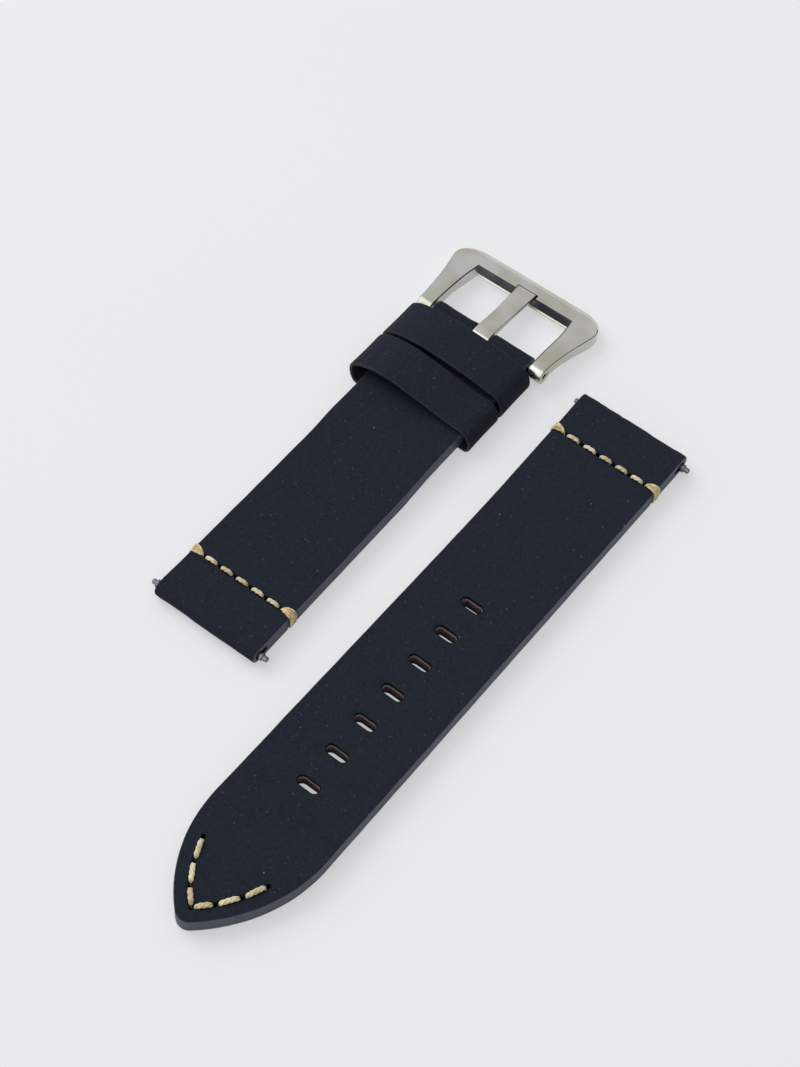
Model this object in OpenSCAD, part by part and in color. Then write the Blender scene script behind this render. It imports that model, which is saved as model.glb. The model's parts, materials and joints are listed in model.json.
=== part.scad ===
// Two-piece leather watch strap, laid out flat side by side: the tail half with
// its adjustment slots, and the buckle half with two keepers and a tang buckle.
// +X runs along both halves towards the buckle, +Y runs across them from the
// tail half to the buckle half, +Z is up. The origin is on the table, under the
// middle of the laid-out pair. Each half is drawn in its own local frame: x from
// its lug end, y across, z up from the table.

/* [Strap] */
// Width of both halves, which is the watch's lug width
strap_w = 24; // [20:0.5:26]
// Length of the tail half, lug end to tip
long_len = 137.5; // [125:0.5:150]
// Length of the buckle half, lug end to folded end
short_len = 90.5; // [84:0.5:100]
// Thickness of the outer leather
upper_t = 1.2; // [1:0.05:1.4]
// Thickness of the filler between the leathers
core_t = 1.35; // [1.2:0.05:1.6]
// Thickness of the lining leather
lining_t = 1.2; // [1.1:0.05:1.4]
// Length of the leather turned under at a lug end
lug_flap = 15; // [14:0.5:18]
// Length of the leather turned under at the buckle
buckle_flap = 18; // [16:0.5:20]

/* [Layout] */
// Distance between the centre lines of the two halves, at the middle of the buckle half
centre_gap = 37.05; // [36:0.05:60]
// How far the folded end lies behind the tail half's lug end
stagger = 0; // [-20:0.1:20]
// Angle of the buckle half to the tail half, as laid out
turn = 0.84; // [-1:0.02:1]

/* [Tail] */
// Radius of the long arcs that draw the tip in
tip_arc_r = 30; // [26:0.5:40]
// Radius of the rounded point
tip_nose_r = 2.5; // [1.5:0.1:4]
// How far the hand-cut point leans to one side
tip_lean = 0.7; // [0:0.05:1]
// Length over which it leans
tip_lean_len = 26; // [20:0.5:35]
// Number of adjustment slots
slot_count = 7; // [3:1:8]
// Distance from the lug end to the first slot
slot_first = 55.8; // [45:0.1:60]
// Spacing of the slots
slot_pitch = 8.05; // [6:0.05:8.3]
// Length of a slot across the strap
slot_len = 5; // [4:0.1:6]
// Width of a slot along the strap
slot_w = 2.3; // [1.5:0.1:2.6]

/* [Stitching] */
// Thickness of the waxed thread
thread_d = 0.9; // [0.6:0.05:1]
// Height that a stitch stands off the leather
stitch_h = 0.55; // [0.4:0.05:0.6]
// Diameter of an awl hole
hole_d = 1.15; // [1.1:0.05:1.3]
// Spacing of the holes across the strap
hole_pitch = 3.75; // [3:0.05:4]
// Holes in a row across the strap
hole_count = 6; // [4:2:6]
// Distance of the tail half's lug seam from its lug end
long_seam = 11.4; // [10:0.1:12.5]
// Distance of the buckle half's lug seam from its lug end
short_seam = 11.3; // [10:0.1:12.5]
// Distance of the hidden buckle seam from the folded end
buckle_seam = 9.3; // [8.5:0.1:11]
// Turns of thread round the edge at each end of a lug seam
wrap_turns = 4; // [2:1:5]
// Spacing of those turns
wrap_pitch = 0.6; // [0.55:0.05:0.75]

/* [Spring bars] */
// Outer diameter of a spring bar's tube
bar_d = 2; // [1.8:0.05:2.2]
// Diameter of the pin that enters a watch lug
bar_pin_d = 1.1; // [0.9:0.05:1.2]
// Length of that pin beyond its flange
bar_pin_len = 1.05; // [0.8:0.05:1.4]
// Diameter of the flange on a tip
bar_flange_d = 1.7; // [1.5:0.05:1.8]
// Thickness of the flange on a tip
bar_flange_t = 0.55; // [0.55:0.05:0.7]
// Gap between the strap's edge and the flange
bar_flange_gap = 0.3; // [0.3:0.05:0.6]
// How far a tip can be pushed in
bar_travel = 1.5; // [1:0.1:1.6]
// Wall of the tube
bar_wall = 0.22; // [0.18:0.02:0.24]
// Wall of the crimped tube end
bar_crimp = 0.4; // [0.3:0.05:0.6]
// Length of the head that keeps a tip in the tube
bar_head_len = 0.8; // [0.6:0.05:1]

/* [Keepers] */
// Thickness of the keeper leather
keeper_t = 0.75; // [0.7:0.05:0.9]
// Width of a keeper along the strap
keeper_w = 10; // [8:0.25:10]
// Reach of the keepers beyond the strap's edge on the side away from the tail half
keeper_far = 4; // [3:0.1:5]
// Reach of the keepers beyond the strap's edge on the side of the tail half
keeper_near = 2.5; // [2.4:0.1:3]
// Height of the sliding keeper's crown
slide_top = 8; // [7.8:0.1:9]
// Height of the sliding keeper's sagging shoulder
slide_shoulder = 5.75; // [5.75:0.05:6.5]
// Height of the fixed keeper's crown
fixed_top = 7.85; // [7.5:0.05:9]
// Height of the fixed keeper's shoulder
fixed_shoulder = 6.5; // [6.2:0.05:7]
// Distance of the fixed keeper from the folded end
fixed_back = 5; // [4.8:0.1:6]
// Gap between the two keepers
keeper_gap = 1; // [0.5:0.1:3]
// How far the sliding keeper can be pushed towards the lug end
keeper_travel = 8; // [4:0.5:12]
// Gap between the sliding keeper and the strap under it
keeper_clear = 0.08; // [0.08:0.01:0.15]

/* [Buckle] */
// Diameter of the buckle's screw bar
screw_d = 1.8; // [1.6:0.05:2]
// Diameter of the screw head
screw_head_d = 2.3; // [2.2:0.05:2.5]
// Length of the screw head
screw_head_len = 1.2; // [1:0.1:1.5]
// Width of the hexagon socket in the screw head
socket_w = 1.25; // [1:0.05:1.4]
// Gap between the folded end and the buckle's arms
arm_clear = 0.45; // [0.3:0.05:0.8]
// Width of an arm at its hinge lug
arm_w = 3.3; // [3.2:0.1:4]
// Outer radius of a hinge lug
lug_r = 1.85; // [1.7:0.05:1.9]
// Overall width of the buckle
buckle_w = 36; // [35:0.25:42]
// Distance from the folded end to the inner side of the far bar
window_len = 13.5; // [11:0.1:15]
// How far the window's far corners stand in from the arms
window_in = 0.6; // [0:0.05:1.2]
// Width of the far bar along the strap
bar_len = 4.6; // [4:0.1:5.5]
// Width of the bevel along the far bar's outer side
bevel_w = 1.6; // [1:0.1:2]
// Height of the far bar
frame_h = 3.1; // [2.8:0.1:3.3]
// Height of an arm halfway along
arm_h = 2.2; // [2:0.1:2.4]
// Corner radius of the frame's outline
corner_r = 4.6; // [3:0.1:5]
// Thickness of the tongue
tongue_t = 1.1; // [0.9:0.05:1.3]
// Width of the tongue at its tip
tongue_w = 4.5; // [4.2:0.1:4.7]
// Width of the tongue at its barrel
tongue_barrel = 3.8; // [3.4:0.1:4.2]
// Width of the tongue halfway along
tongue_waist = 4.2; // [3.8:0.1:4.4]
// How far the tongue lies on the far bar
tongue_lap = 1; // [1:0.1:2.5]
// Gap round the tongue in the leather and on the bar
tongue_clear = 0.45; // [0.3:0.05:0.6]

/* [Hidden] */

black_hide = "#262830";
brown_core = "#5a4238";
lining_hide = "#33323a";
ecru_thread = "#d6c79e";
bright_steel = "#b4b3ad";
spring_steel = "#8d9096";

running_gap = 0.05;
seat_gap = 0.02;
strap_t = upper_t + core_t + lining_t;
fold_r = strap_t / 2;
core_start = 2 * fold_r + 0.35;
shoulder_in = 1.6;
half_w = strap_w / 2;

// Spring bar, measured from the middle of its length
bar_flange_y = half_w + bar_flange_gap;
bar_half = bar_flange_y + bar_flange_t + bar_pin_len;
tube_half = bar_flange_y - bar_travel - running_gap;
tube_bore_r = bar_d / 2 - bar_wall;
head_r = tube_bore_r - running_gap - 0.01;
neck_r = bar_pin_d / 2;
mouth_r = neck_r + 0.07;
flange_end = bar_flange_y + bar_flange_t;
pin_chamfer = 0.15;
channel_r = bar_d / 2 + running_gap;
head_out = tube_half - bar_crimp - 0.1;
head_in = head_out - bar_head_len;
spring_r = head_r - 0.04;
spring_bore_r = spring_r - 0.25;

// The buckle half rises where the keepers pass under it
lift = keeper_t + keeper_clear;
fixed_x1 = short_len - fixed_back;
fixed_x0 = fixed_x1 - keeper_w;
slide_x1 = fixed_x0 - keeper_gap;
slide_x0 = slide_x1 - keeper_w;
ramp_end = slide_x0 - keeper_travel - 1;
ramp_start = ramp_end - 10;

// Buckle, in the buckle half's frame
pin_x = short_len - fold_r;
pin_z = lift + fold_r;
pin_channel_r = screw_d / 2 + 0.08;
arm_in = half_w + arm_clear;
arm_out = arm_in + arm_w;
window_x = short_len + window_len;
buckle_x = window_x + bar_len;
slot_half = tongue_barrel / 2 + tongue_clear;
tongue_slot_x = pin_x - lug_r - 0.9;
notch_clear = tongue_clear * 0.6;
head_sink = 0.28;
socket_depth = screw_head_len * 0.6;

// Place of the two halves: the origin is under the middle of the pair
buckle_reach = buckle_x - short_len / 2;
x_lug = (long_len + stagger + short_len / 2 - buckle_reach * cos(turn)) / 2;
x_short = x_lug - stagger - short_len / 2;
y_reach = max(buckle_w / 2 * cos(turn) + (buckle_reach - corner_r) * sin(turn), bar_half);
y_long = -(centre_gap + y_reach - bar_half) / 2;
y_short = y_long + centre_gap;

function arc(c, r, a0, a1, n) = [for (i = [0:n]) let(a = a0 + (a1 - a0) * i / n) c + r * [cos(a), sin(a)]];
function bezier(a, b, c, d, n) = [for (i = [0:n]) let(u = i / n)
    pow(1 - u, 3) * a + 3 * pow(1 - u, 2) * u * b + 3 * (1 - u) * u * u * c + pow(u, 3) * d];
function flip(pts) = [for (i = [len(pts) - 1:-1:0]) [pts[i][0], -pts[i][1]]];
function tail(pts) = [for (i = [1:len(pts) - 1]) pts[i]];
function unit(v) = v / norm(v);
// A closed outline, counter-clockwise, drawn in by d
function shrunk(pts, d) = [for (i = [0:len(pts) - 1])
    let(n = len(pts), a = pts[(i + n - 1) % n], b = pts[(i + 1) % n])
    pts[i] + d * unit([a[1] - b[1], b[0] - a[0]])];
function smooth(u) = u <= 0 ? 0 : u >= 1 ? 1 : u * u * (3 - 2 * u);
function lift_at(x) = lift * smooth((x - ramp_start) / (ramp_end - ramp_start));

module place_long() translate([x_lug, y_long, 0]) rotate([0, 0, 180]) children();
module place_short() translate([x_short, y_short, 0]) rotate([0, 0, turn])
    translate([-short_len / 2, 0, 0]) children();
// A profile of [x, z] points carried across the strap
module across(w) rotate([90, 0, 0]) linear_extrude(w, center = true) children();
module along_y() rotate([-90, 0, 0]) children();

// Where a point of the tail half goes when its tip leans
function leaned(p) =
    [p[0], p[1] - tip_lean * smooth((p[0] - long_len + tip_lean_len) / tip_lean_len)];

// Outline of the tail half seen from above
module tail_plan() {
    nose_x = long_len - tip_nose_r;
    arc_c = half_w - tip_arc_r;
    arc_x = nose_x - sqrt(pow(tip_arc_r - tip_nose_r, 2) - arc_c * arc_c);
    meet = atan2(-arc_c, nose_x - arc_x);
    side = concat([[-1, half_w]], arc([arc_x, arc_c], tip_arc_r, 90, meet, 14),
                  arc([nose_x, 0], tip_nose_r, meet - 15, 8, 3));
    polygon([for (p = concat(side, [[long_len, 0]], flip(side))) leaned(p)]);
}

module slots() {
    for (k = [0:slot_count - 1]) {
        translate([slot_first + k * slot_pitch, 0, -1])
            linear_extrude(strap_t + 2) {
                square([slot_w, slot_len - slot_w], center = true);
                translate([0, (slot_len - slot_w) / 2]) circle(d = slot_w, $fn = 32);
                translate([0, -(slot_len - slot_w) / 2]) circle(d = slot_w, $fn = 32);
            }
    }
}

// Holes of a row across the strap, and of the seam that follows the tip
function row_holes(x) = [for (k = [0:hole_count - 1]) [x, (k - (hole_count - 1) / 2) * hole_pitch]];
tip_back = [2.9, 5.9, 9.8, 14.2];
tip_side = [0, 2.9, 5.6, 7.5];
tip_holes = [for (k = [3:-1:-3]) leaned([long_len - tip_back[abs(k)], sign(k) * tip_side[abs(k)]])];

module awl_holes(pts, z0, z1) {
    for (p = pts)
        translate([p[0], p[1], z0]) cylinder(h = z1 - z0, d = hole_d, $fn = 24);
}

// The shallow channel under a row of stitches, which keeps them off the table
module stitch_channel(pts, z) {
    for (k = [0:len(pts) - 2]) {
        run = pts[k + 1] - pts[k];
        translate([pts[k][0], pts[k][1], z - 1]) rotate([0, 0, atan2(run[1], run[0])])
            translate([0, -thread_d / 2 - 0.05, 0]) cube([norm(run), thread_d + 0.1, 1 + channel_h]);
    }
}

channel_h = stitch_h + 0.05;
leg_w = 0.3;
leg_in = 0.17;

// One stitch from hole p to hole q, standing on the plane z = 0
module stitch(p, q, leg) {
    run = norm(q - p);
    top = [for (i = [1:9]) [leg_in + (run - 2 * leg_in) * i / 10, stitch_h * pow(sin(18 * i), 0.45)]];
    translate([p[0], p[1], 0]) rotate([0, 0, atan2(q[1] - p[1], q[0] - p[0])]) {
        across(thread_d) polygon(concat([[run - leg_in, 0], [leg_in, 0]], top));
        for (x = [leg_in, run - leg_in - leg_w])
            translate([x, -leg_w / 2, -leg]) cube([leg_w, leg_w, leg + 0.1]);
    }
}

// A seam sewn through from both sides: stitches on top and in the channel below
module seam(pts, z_low, z_top) {
    leg = (z_top - z_low - channel_h) / 2 - 0.1;
    for (k = [0:len(pts) - 2]) {
        translate([0, 0, z_top]) stitch(pts[k], pts[k + 1], leg);
        translate([0, 0, z_low + channel_h]) mirror([0, 0, 1]) stitch(pts[k], pts[k + 1], leg);
    }
}

wrap_w = (wrap_turns - 1) * wrap_pitch + thread_d - 0.25;
wrap_in = (hole_count - 1) / 2 * hole_pitch + hole_d / 2 + 0.05;

module wrap_channel(x) {
    for (s = [-1, 1])
        translate([x - wrap_w / 2 - 0.1, s > 0 ? wrap_in - 0.1 : -half_w - 1, -1])
            cube([wrap_w + 0.2, half_w + 1.1 - wrap_in, 1 + channel_h]);
}

// Thread turned round the strap's edge, between the last hole and its underside
module edge_wraps(x) {
    turn_w = wrap_pitch - 0.05;
    lip = stitch_h * 0.6;
    low = channel_h - stitch_h;
    out = half_w + stitch_h;
    high = strap_t + stitch_h;
    for (s = [-1, 1], k = [0:wrap_turns - 1])
        translate([x + (k - (wrap_turns - 1) / 2) * wrap_pitch, 0, 0]) rotate([0, 0, s > 0 ? 0 : 180])
            rotate([90, 0, 90]) linear_extrude(turn_w, center = true)
                polygon([[wrap_in, strap_t], [half_w, strap_t], [half_w, channel_h], [wrap_in, channel_h],
                         [wrap_in, low], [out - lip, low], [out, low + lip], [out, high - lip],
                         [out - lip, high], [wrap_in + lip, high]]);
}

// Spring bar parts, along Y through the origin
module bar_tube() along_y() rotate_extrude($fn = 32)
    polygon([[mouth_r, -tube_half], [bar_d / 2, -tube_half], [bar_d / 2, tube_half], [mouth_r, tube_half],
             [mouth_r, tube_half - bar_crimp], [tube_bore_r, tube_half - bar_crimp],
             [tube_bore_r, -tube_half + bar_crimp], [mouth_r, -tube_half + bar_crimp]]);

module bar_spring() along_y() rotate_extrude($fn = 24)
    polygon([[spring_bore_r, -head_in + 0.05], [spring_r, -head_in + 0.05],
             [spring_r, head_in - 0.05], [spring_bore_r, head_in - 0.05]]);

module bar_tip() along_y() rotate_extrude($fn = 32)
    polygon([[0, head_in], [head_r, head_in], [head_r, head_out], [neck_r, head_out], [neck_r, bar_flange_y],
             [bar_flange_d / 2, bar_flange_y], [bar_flange_d / 2, flange_end], [neck_r, flange_end],
             [neck_r, bar_half - pin_chamfer], [neck_r - pin_chamfer, bar_half], [0, bar_half]]);

module at_bar() translate([fold_r, 0, fold_r]) children();
module bar_channel() at_bar() along_y() cylinder(h = strap_w + 4, r = channel_r, center = true, $fn = 32);

// Tail half
module long_upper_leather() color(black_hide) place_long() difference() {
    intersection() {
        across(strap_w + 4) polygon(concat(
            [[lug_flap, 0]], arc([fold_r, fold_r], fold_r, 270, 90, 16),
            [[long_len + 2, strap_t], [long_len + 2, strap_t - upper_t], [core_start, strap_t - upper_t],
             [core_start, lining_t], [lug_flap, lining_t]]));
        translate([0, 0, -1]) linear_extrude(strap_t + 2) tail_plan();
    }
    bar_channel();
    slots();
    awl_holes(row_holes(long_seam), -1, strap_t + 1);
    awl_holes(tip_holes, lining_t, strap_t + 1);
    stitch_channel(row_holes(long_seam), 0);
    wrap_channel(long_seam);
}

module long_core() color(brown_core) place_long() difference() {
    intersection() {
        translate([core_start, -half_w - 1, lining_t]) cube([long_len, strap_w + 2, core_t]);
        translate([0, 0, -1]) linear_extrude(strap_t + 2) tail_plan();
    }
    slots();
    awl_holes(row_holes(long_seam), 0, strap_t);
    awl_holes(tip_holes, 0, strap_t);
}

module long_lining() color(lining_hide) place_long() difference() {
    intersection() {
        translate([lug_flap, -half_w - 1, 0]) cube([long_len, strap_w + 2, lining_t]);
        translate([0, 0, -1]) linear_extrude(strap_t + 2) tail_plan();
    }
    slots();
    awl_holes(tip_holes, -1, strap_t);
    stitch_channel(tip_holes, 0);
}

module long_lug_stitches() color(ecru_thread) place_long() seam(row_holes(long_seam), 0, strap_t);
module long_edge_wraps() color(ecru_thread) place_long() edge_wraps(long_seam);
module long_tip_stitches() color(ecru_thread) place_long() seam([for (k = [0:6]) tip_holes[k]], 0, strap_t);
module long_bar_tube() color(spring_steel) place_long() at_bar() bar_tube();
module long_bar_spring() color(spring_steel) place_long() at_bar() bar_spring();
module long_bar_tip_outer() color(bright_steel) place_long() at_bar() bar_tip();
module long_bar_tip_inner() color(bright_steel) place_long() at_bar() rotate([0, 0, 180]) bar_tip();

// Buckle half: a layer between two heights that follows the rise over the keepers
function rise(x0, x1, z) =
    let(ramp = [for (i = [0:8]) ramp_start + (ramp_end - ramp_start) * i / 8])
    [for (x = concat([x0], ramp, [x1])) if (x >= x0 && x <= x1) [x, z + lift_at(x)]];
function back(pts) = [for (i = [len(pts) - 1:-1:0]) pts[i]];

module layer(x0, x1, z0, z1) across(strap_w) polygon(concat(rise(x0, x1, z1), back(rise(x0, x1, z0))));

seam_x = short_len - buckle_seam;
flap_x = short_len - buckle_flap;
core_end = short_len - core_start;

module at_pin() translate([pin_x, 0, pin_z]) children();
module tongue_slot() translate([tongue_slot_x, -slot_half, lift - 1])
    cube([short_len, 2 * slot_half, strap_t + 2]);

module short_upper_leather() color(black_hide) place_short() difference() {
    across(strap_w) polygon(concat(
        [[lug_flap, 0]], arc([fold_r, fold_r], fold_r, 270, 90, 16),
        rise(lug_flap, core_end, strap_t), arc([pin_x, pin_z], fold_r, 90, -90, 16),
        [[flap_x, lift], [flap_x, lift + lining_t], [core_end, lift + lining_t]],
        back(rise(core_start, core_end, strap_t - upper_t)),
        [[core_start, lining_t], [lug_flap, lining_t]]));
    bar_channel();
    at_pin() along_y() cylinder(h = strap_w + 4, r = pin_channel_r, center = true, $fn = 32);
    tongue_slot();
    awl_holes(row_holes(short_seam), -1, strap_t + 1);
    stitch_channel(row_holes(short_seam), 0);
    wrap_channel(short_seam);
    awl_holes(row_holes(seam_x), lift - 1, lift + strap_t + 1);
}

module short_core() color(brown_core) place_short() difference() {
    layer(core_start, core_end, lining_t, lining_t + core_t);
    awl_holes(row_holes(short_seam), 0, strap_t);
    awl_holes(row_holes(seam_x), 0, lift + strap_t);
    tongue_slot();
}

module short_lining() color(lining_hide) place_short() layer(lug_flap, flap_x, 0, lining_t);
module short_lug_stitches() color(ecru_thread) place_short() seam(row_holes(short_seam), 0, strap_t);
module short_edge_wraps() color(ecru_thread) place_short() edge_wraps(short_seam);
module short_buckle_stitches() color(ecru_thread) place_short()
    seam(row_holes(seam_x), keeper_clear, lift + strap_t);
module short_bar_tube() color(spring_steel) place_short() at_bar() bar_tube();
module short_bar_spring() color(spring_steel) place_short() at_bar() bar_spring();
module short_bar_tip_inner() color(bright_steel) place_short() at_bar() rotate([0, 0, 180]) bar_tip();
module short_bar_tip_outer() color(bright_steel) place_short() at_bar() bar_tip();

// Outline of a keeper across the strap, from the middle of its floor round over its crown and
// down the side of the tail half. crown = [place of the top, its height, height of the saddle
// beside it, height of the shoulder]
function keeper_line(crown) =
    let(far = half_w + keeper_far, near = half_w + keeper_near, top = [crown[0], crown[1]],
        shoulder = [shoulder_in - half_w, crown[3]])
    concat([[0, 0]],
        bezier([far - 2, 0], [far - 0.9, 0], [far, 1.5], [far, 3.8], 6),
        tail(bezier([far, 3.8], [far, 6.4], top + [6.5, 0], top, 10)),
        tail(bezier(top, top - [5, 0.15 * (crown[1] - crown[3])], [-6, crown[2]], shoulder, 10)),
        tail(bezier(shoulder, [1.3 - near, crown[3] - 0.05], [-near, 4.4], [-near, 2.4], 8)),
        tail(bezier([-near, 2.4], [-near, 0.9], [0.6 - near, 0], [1.6 - near, 0], 5)));

module keeper(x0, crown) translate([x0, 0, 0]) rotate([90, 0, 90]) linear_extrude(keeper_w) difference() {
    polygon(keeper_line(crown));
    polygon(shrunk(keeper_line(crown), keeper_t));
}

module fixed_keeper() color(black_hide) place_short() difference() {
    translate([0, 0, keeper_clear]) keeper(fixed_x0, [4, fixed_top, fixed_top - 0.4, fixed_shoulder]);
    awl_holes(row_holes(seam_x), -1, lift + 0.3);
    stitch_channel(row_holes(seam_x), keeper_clear);
}

module sliding_keeper() color(black_hide) place_short()
    keeper(slide_x0, [6, slide_top, slide_shoulder + 0.35, slide_shoulder]);

// Buckle frame: its outline from above, cut by its outline from the side
module frame_plan() {
    hw = buckle_w / 2;
    lug_x = pin_x - lug_r - 0.05;
    outer = concat([[lug_x, arm_out]],
        bezier([pin_x - 0.5, arm_out], [pin_x + 4, arm_out + 0.05], [window_x - 5, hw - 1.1],
               [window_x - 0.6, hw], 8),
        bezier([buckle_x - corner_r, hw], [buckle_x - corner_r * 0.4, hw - 0.1],
               [buckle_x - 0.1, hw - corner_r * 0.6], [buckle_x, hw - corner_r * 1.2], 8));
    inner = concat([[lug_x - 1, arm_in]],
        bezier([window_x - 8, arm_in], [window_x - 5, arm_in], [window_x - 3, arm_in - window_in * 0.2],
               [window_x, arm_in - window_in], 6));
    difference() {
        polygon(concat(outer, flip(outer)));
        polygon(concat(inner, flip(inner)));
    }
}

module frame_side() {
    top = bezier([pin_x + 0.9, pin_z + lug_r - 0.05], [pin_x + 5, pin_z + lug_r - 0.15],
                 [window_x - 5, frame_h + 0.2], [window_x + 1, frame_h], 10);
    low = bezier([window_x - 1, 0], [window_x - 5, 0.1], [pin_x + 6, pin_z + lug_r - arm_h],
                 [pin_x + lug_r * 0.8, pin_z - lug_r * 0.6], 10);
    bar = [[buckle_x - bevel_w, frame_h - 0.05], [buckle_x, frame_h - 1.1], [buckle_x, 0.4],
           [buckle_x - 0.4, 0], [window_x + 0.5, 0]];
    polygon(concat(top, bar, low, arc([pin_x, pin_z], lug_r, -50, -240, 14)));
}

module buckle_frame() color(bright_steel) place_short() difference() {
    intersection() {
        translate([0, 0, -1]) linear_extrude(pin_z + lug_r + 2) frame_plan();
        across(buckle_w + 4) frame_side();
    }
    at_pin() along_y() cylinder(h = 2 * arm_out + 2, r = screw_d / 2 + seat_gap, center = true, $fn = 32);
    at_pin() translate([0, -arm_out - 1, 0]) along_y()
        cylinder(h = screw_head_len + head_sink + 1 + seat_gap, d = screw_head_d + 2 * seat_gap, $fn = 32);
    translate([window_x - 1, -tongue_w / 2 - notch_clear, frame_h - tongue_t])
        cube([tongue_lap + 1 + notch_clear, tongue_w + 2 * notch_clear, tongue_t + 2]);
}

module buckle_screw_bar() color(spring_steel) place_short() at_pin() difference() {
    union() {
        along_y() cylinder(h = 2 * arm_out - 1.2, d = screw_d, center = true, $fn = 32);
        translate([0, head_sink - arm_out, 0]) along_y()
            cylinder(h = screw_head_len, d = screw_head_d, $fn = 32);
    }
    translate([0, -arm_out - 1, 0]) along_y()
        cylinder(h = 1 + head_sink + socket_depth, d = socket_w, $fn = 6);
}

module tongue_plan() {
    x0 = pin_x - lug_r - 0.5;
    x1 = window_x + tongue_lap;
    edge = concat([[x0, tongue_barrel / 2]],
        bezier([pin_x + 1.5, tongue_barrel / 2], [pin_x + 4, tongue_waist / 2], [x1 - 6, tongue_waist / 2],
               [x1 - 1, tongue_w / 2 - 0.02], 8),
        [[x1, tongue_w / 2]]);
    polygon(concat(edge, flip(edge)));
}

module tongue_side() {
    tip_x = window_x + tongue_lap;
    z_tip = frame_h + 0.05;
    top = bezier([pin_x - 0.6, pin_z + lug_r + 0.15], [pin_x + 5, pin_z + lug_r - 0.35],
                 [tip_x - 7, z_tip + 0.3], [tip_x, z_tip], 10);
    low = bezier([tip_x, z_tip - tongue_t + 0.1], [tip_x - 7, z_tip + 0.3 - tongue_t],
                 [pin_x + 6, pin_z + lug_r - 0.35 - tongue_t], [pin_x + lug_r * 0.95, pin_z + 0.4], 10);
    polygon(concat(top, low, arc([pin_x, pin_z], lug_r, -10, -250, 14)));
}

module buckle_tongue() color(bright_steel) place_short() difference() {
    intersection() {
        translate([0, 0, -1]) linear_extrude(pin_z + lug_r + 3) tongue_plan();
        across(tongue_w + 2) tongue_side();
    }
    at_pin() along_y() cylinder(h = tongue_w + 4, r = screw_d / 2 + running_gap, center = true, $fn = 32);
}

long_upper_leather();
long_core();
long_lining();
long_lug_stitches();
long_edge_wraps();
long_tip_stitches();
long_bar_tube();
long_bar_spring();
long_bar_tip_outer();
long_bar_tip_inner();
short_upper_leather();
short_core();
short_lining();
short_lug_stitches();
short_edge_wraps();
short_buckle_stitches();
fixed_keeper();
sliding_keeper();
buckle_frame();
buckle_tongue();
buckle_screw_bar();
short_bar_tube();
short_bar_spring();
short_bar_tip_inner();
short_bar_tip_outer();
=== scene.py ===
# %% [markdown]
# # A two-piece leather watch strap
# The construction is loaded as a fixed frame: every piece of it is where the real piece is, in
# metres, with +X towards the buckle, +Y from the tail half to the buckle half and +Z up. The spring
# bars keep their own solids and only get a finish here. All leather and thread, the buckle's frame,
# its tongue and its screw bar are modelled in this file, over the plain solids that they stand for.

# %% Load the frame
import json
import math

import bmesh
import bpy
from mathutils import Matrix, Vector, noise


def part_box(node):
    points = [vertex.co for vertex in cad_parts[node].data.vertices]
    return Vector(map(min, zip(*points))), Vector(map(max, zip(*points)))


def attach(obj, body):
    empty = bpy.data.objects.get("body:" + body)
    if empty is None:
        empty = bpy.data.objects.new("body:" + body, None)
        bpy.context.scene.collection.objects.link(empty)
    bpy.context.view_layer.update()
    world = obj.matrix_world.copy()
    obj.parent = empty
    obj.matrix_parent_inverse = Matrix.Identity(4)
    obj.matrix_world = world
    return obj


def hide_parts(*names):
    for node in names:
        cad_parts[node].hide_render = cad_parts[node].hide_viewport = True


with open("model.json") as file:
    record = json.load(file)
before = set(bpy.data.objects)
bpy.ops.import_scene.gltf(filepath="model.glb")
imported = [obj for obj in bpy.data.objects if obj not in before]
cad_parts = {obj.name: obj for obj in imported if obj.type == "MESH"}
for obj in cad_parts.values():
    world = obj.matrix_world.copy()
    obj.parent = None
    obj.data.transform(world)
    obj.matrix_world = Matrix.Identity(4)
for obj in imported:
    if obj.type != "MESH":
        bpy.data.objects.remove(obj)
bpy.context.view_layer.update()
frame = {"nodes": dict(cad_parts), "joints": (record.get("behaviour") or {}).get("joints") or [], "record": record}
scene = bpy.context.scene
MM = 0.001

# %% [markdown]
# ## Two local frames
# Each half is drawn in its own frame, in millimetres: s from its lug end, w across, z up. The
# spring bar of a half lies along w, one fold radius in from the lug end and above the table, so the
# two mounts on its pins give the whole frame. The buckle half lies at a slight angle this way.

# %% Local frames of the two halves
mounts = {m["name"]: Vector(m["pos_m"]) for m in frame["record"]["mounts"]}


def half_frame(inner, outer):
    w = (outer - inner).normalized()
    s = w.cross(Vector((0, 0, 1)))
    middle = (inner + outer) / 2
    origin = middle - s * middle.z
    origin.z = 0
    turn = Matrix((s, w, Vector((0, 0, 1)))).transposed().to_4x4()
    return Matrix.Translation(origin) @ turn @ Matrix.Scale(MM, 4)


TAIL = half_frame(mounts["long_bar_inner_pin"], mounts["long_bar_outer_pin"])
BUCKLE = half_frame(mounts["short_bar_inner_pin"], mounts["short_bar_outer_pin"])
hinge = next(j for j in frame["joints"] if j["name"] == "buckle_swing")
pin = BUCKLE.inverted() @ Vector(hinge["pos_m"])
print("buckle hinge in its half's frame:", [round(v, 3) for v in pin])

# %% [markdown]
# ## The camera
# It stands at the photograph's viewing angle: high beyond the lug ends, on the tail half's side,
# looking steeply down towards the buckle, and turned a few degrees off level.

# %% Camera
HEADING, DOWN, ROLL = math.radians(33.51), math.radians(56.17), math.radians(5.408)
CAMERA_FROM_LUG = Vector((-0.23318, -0.09987, 0.32887))

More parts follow.
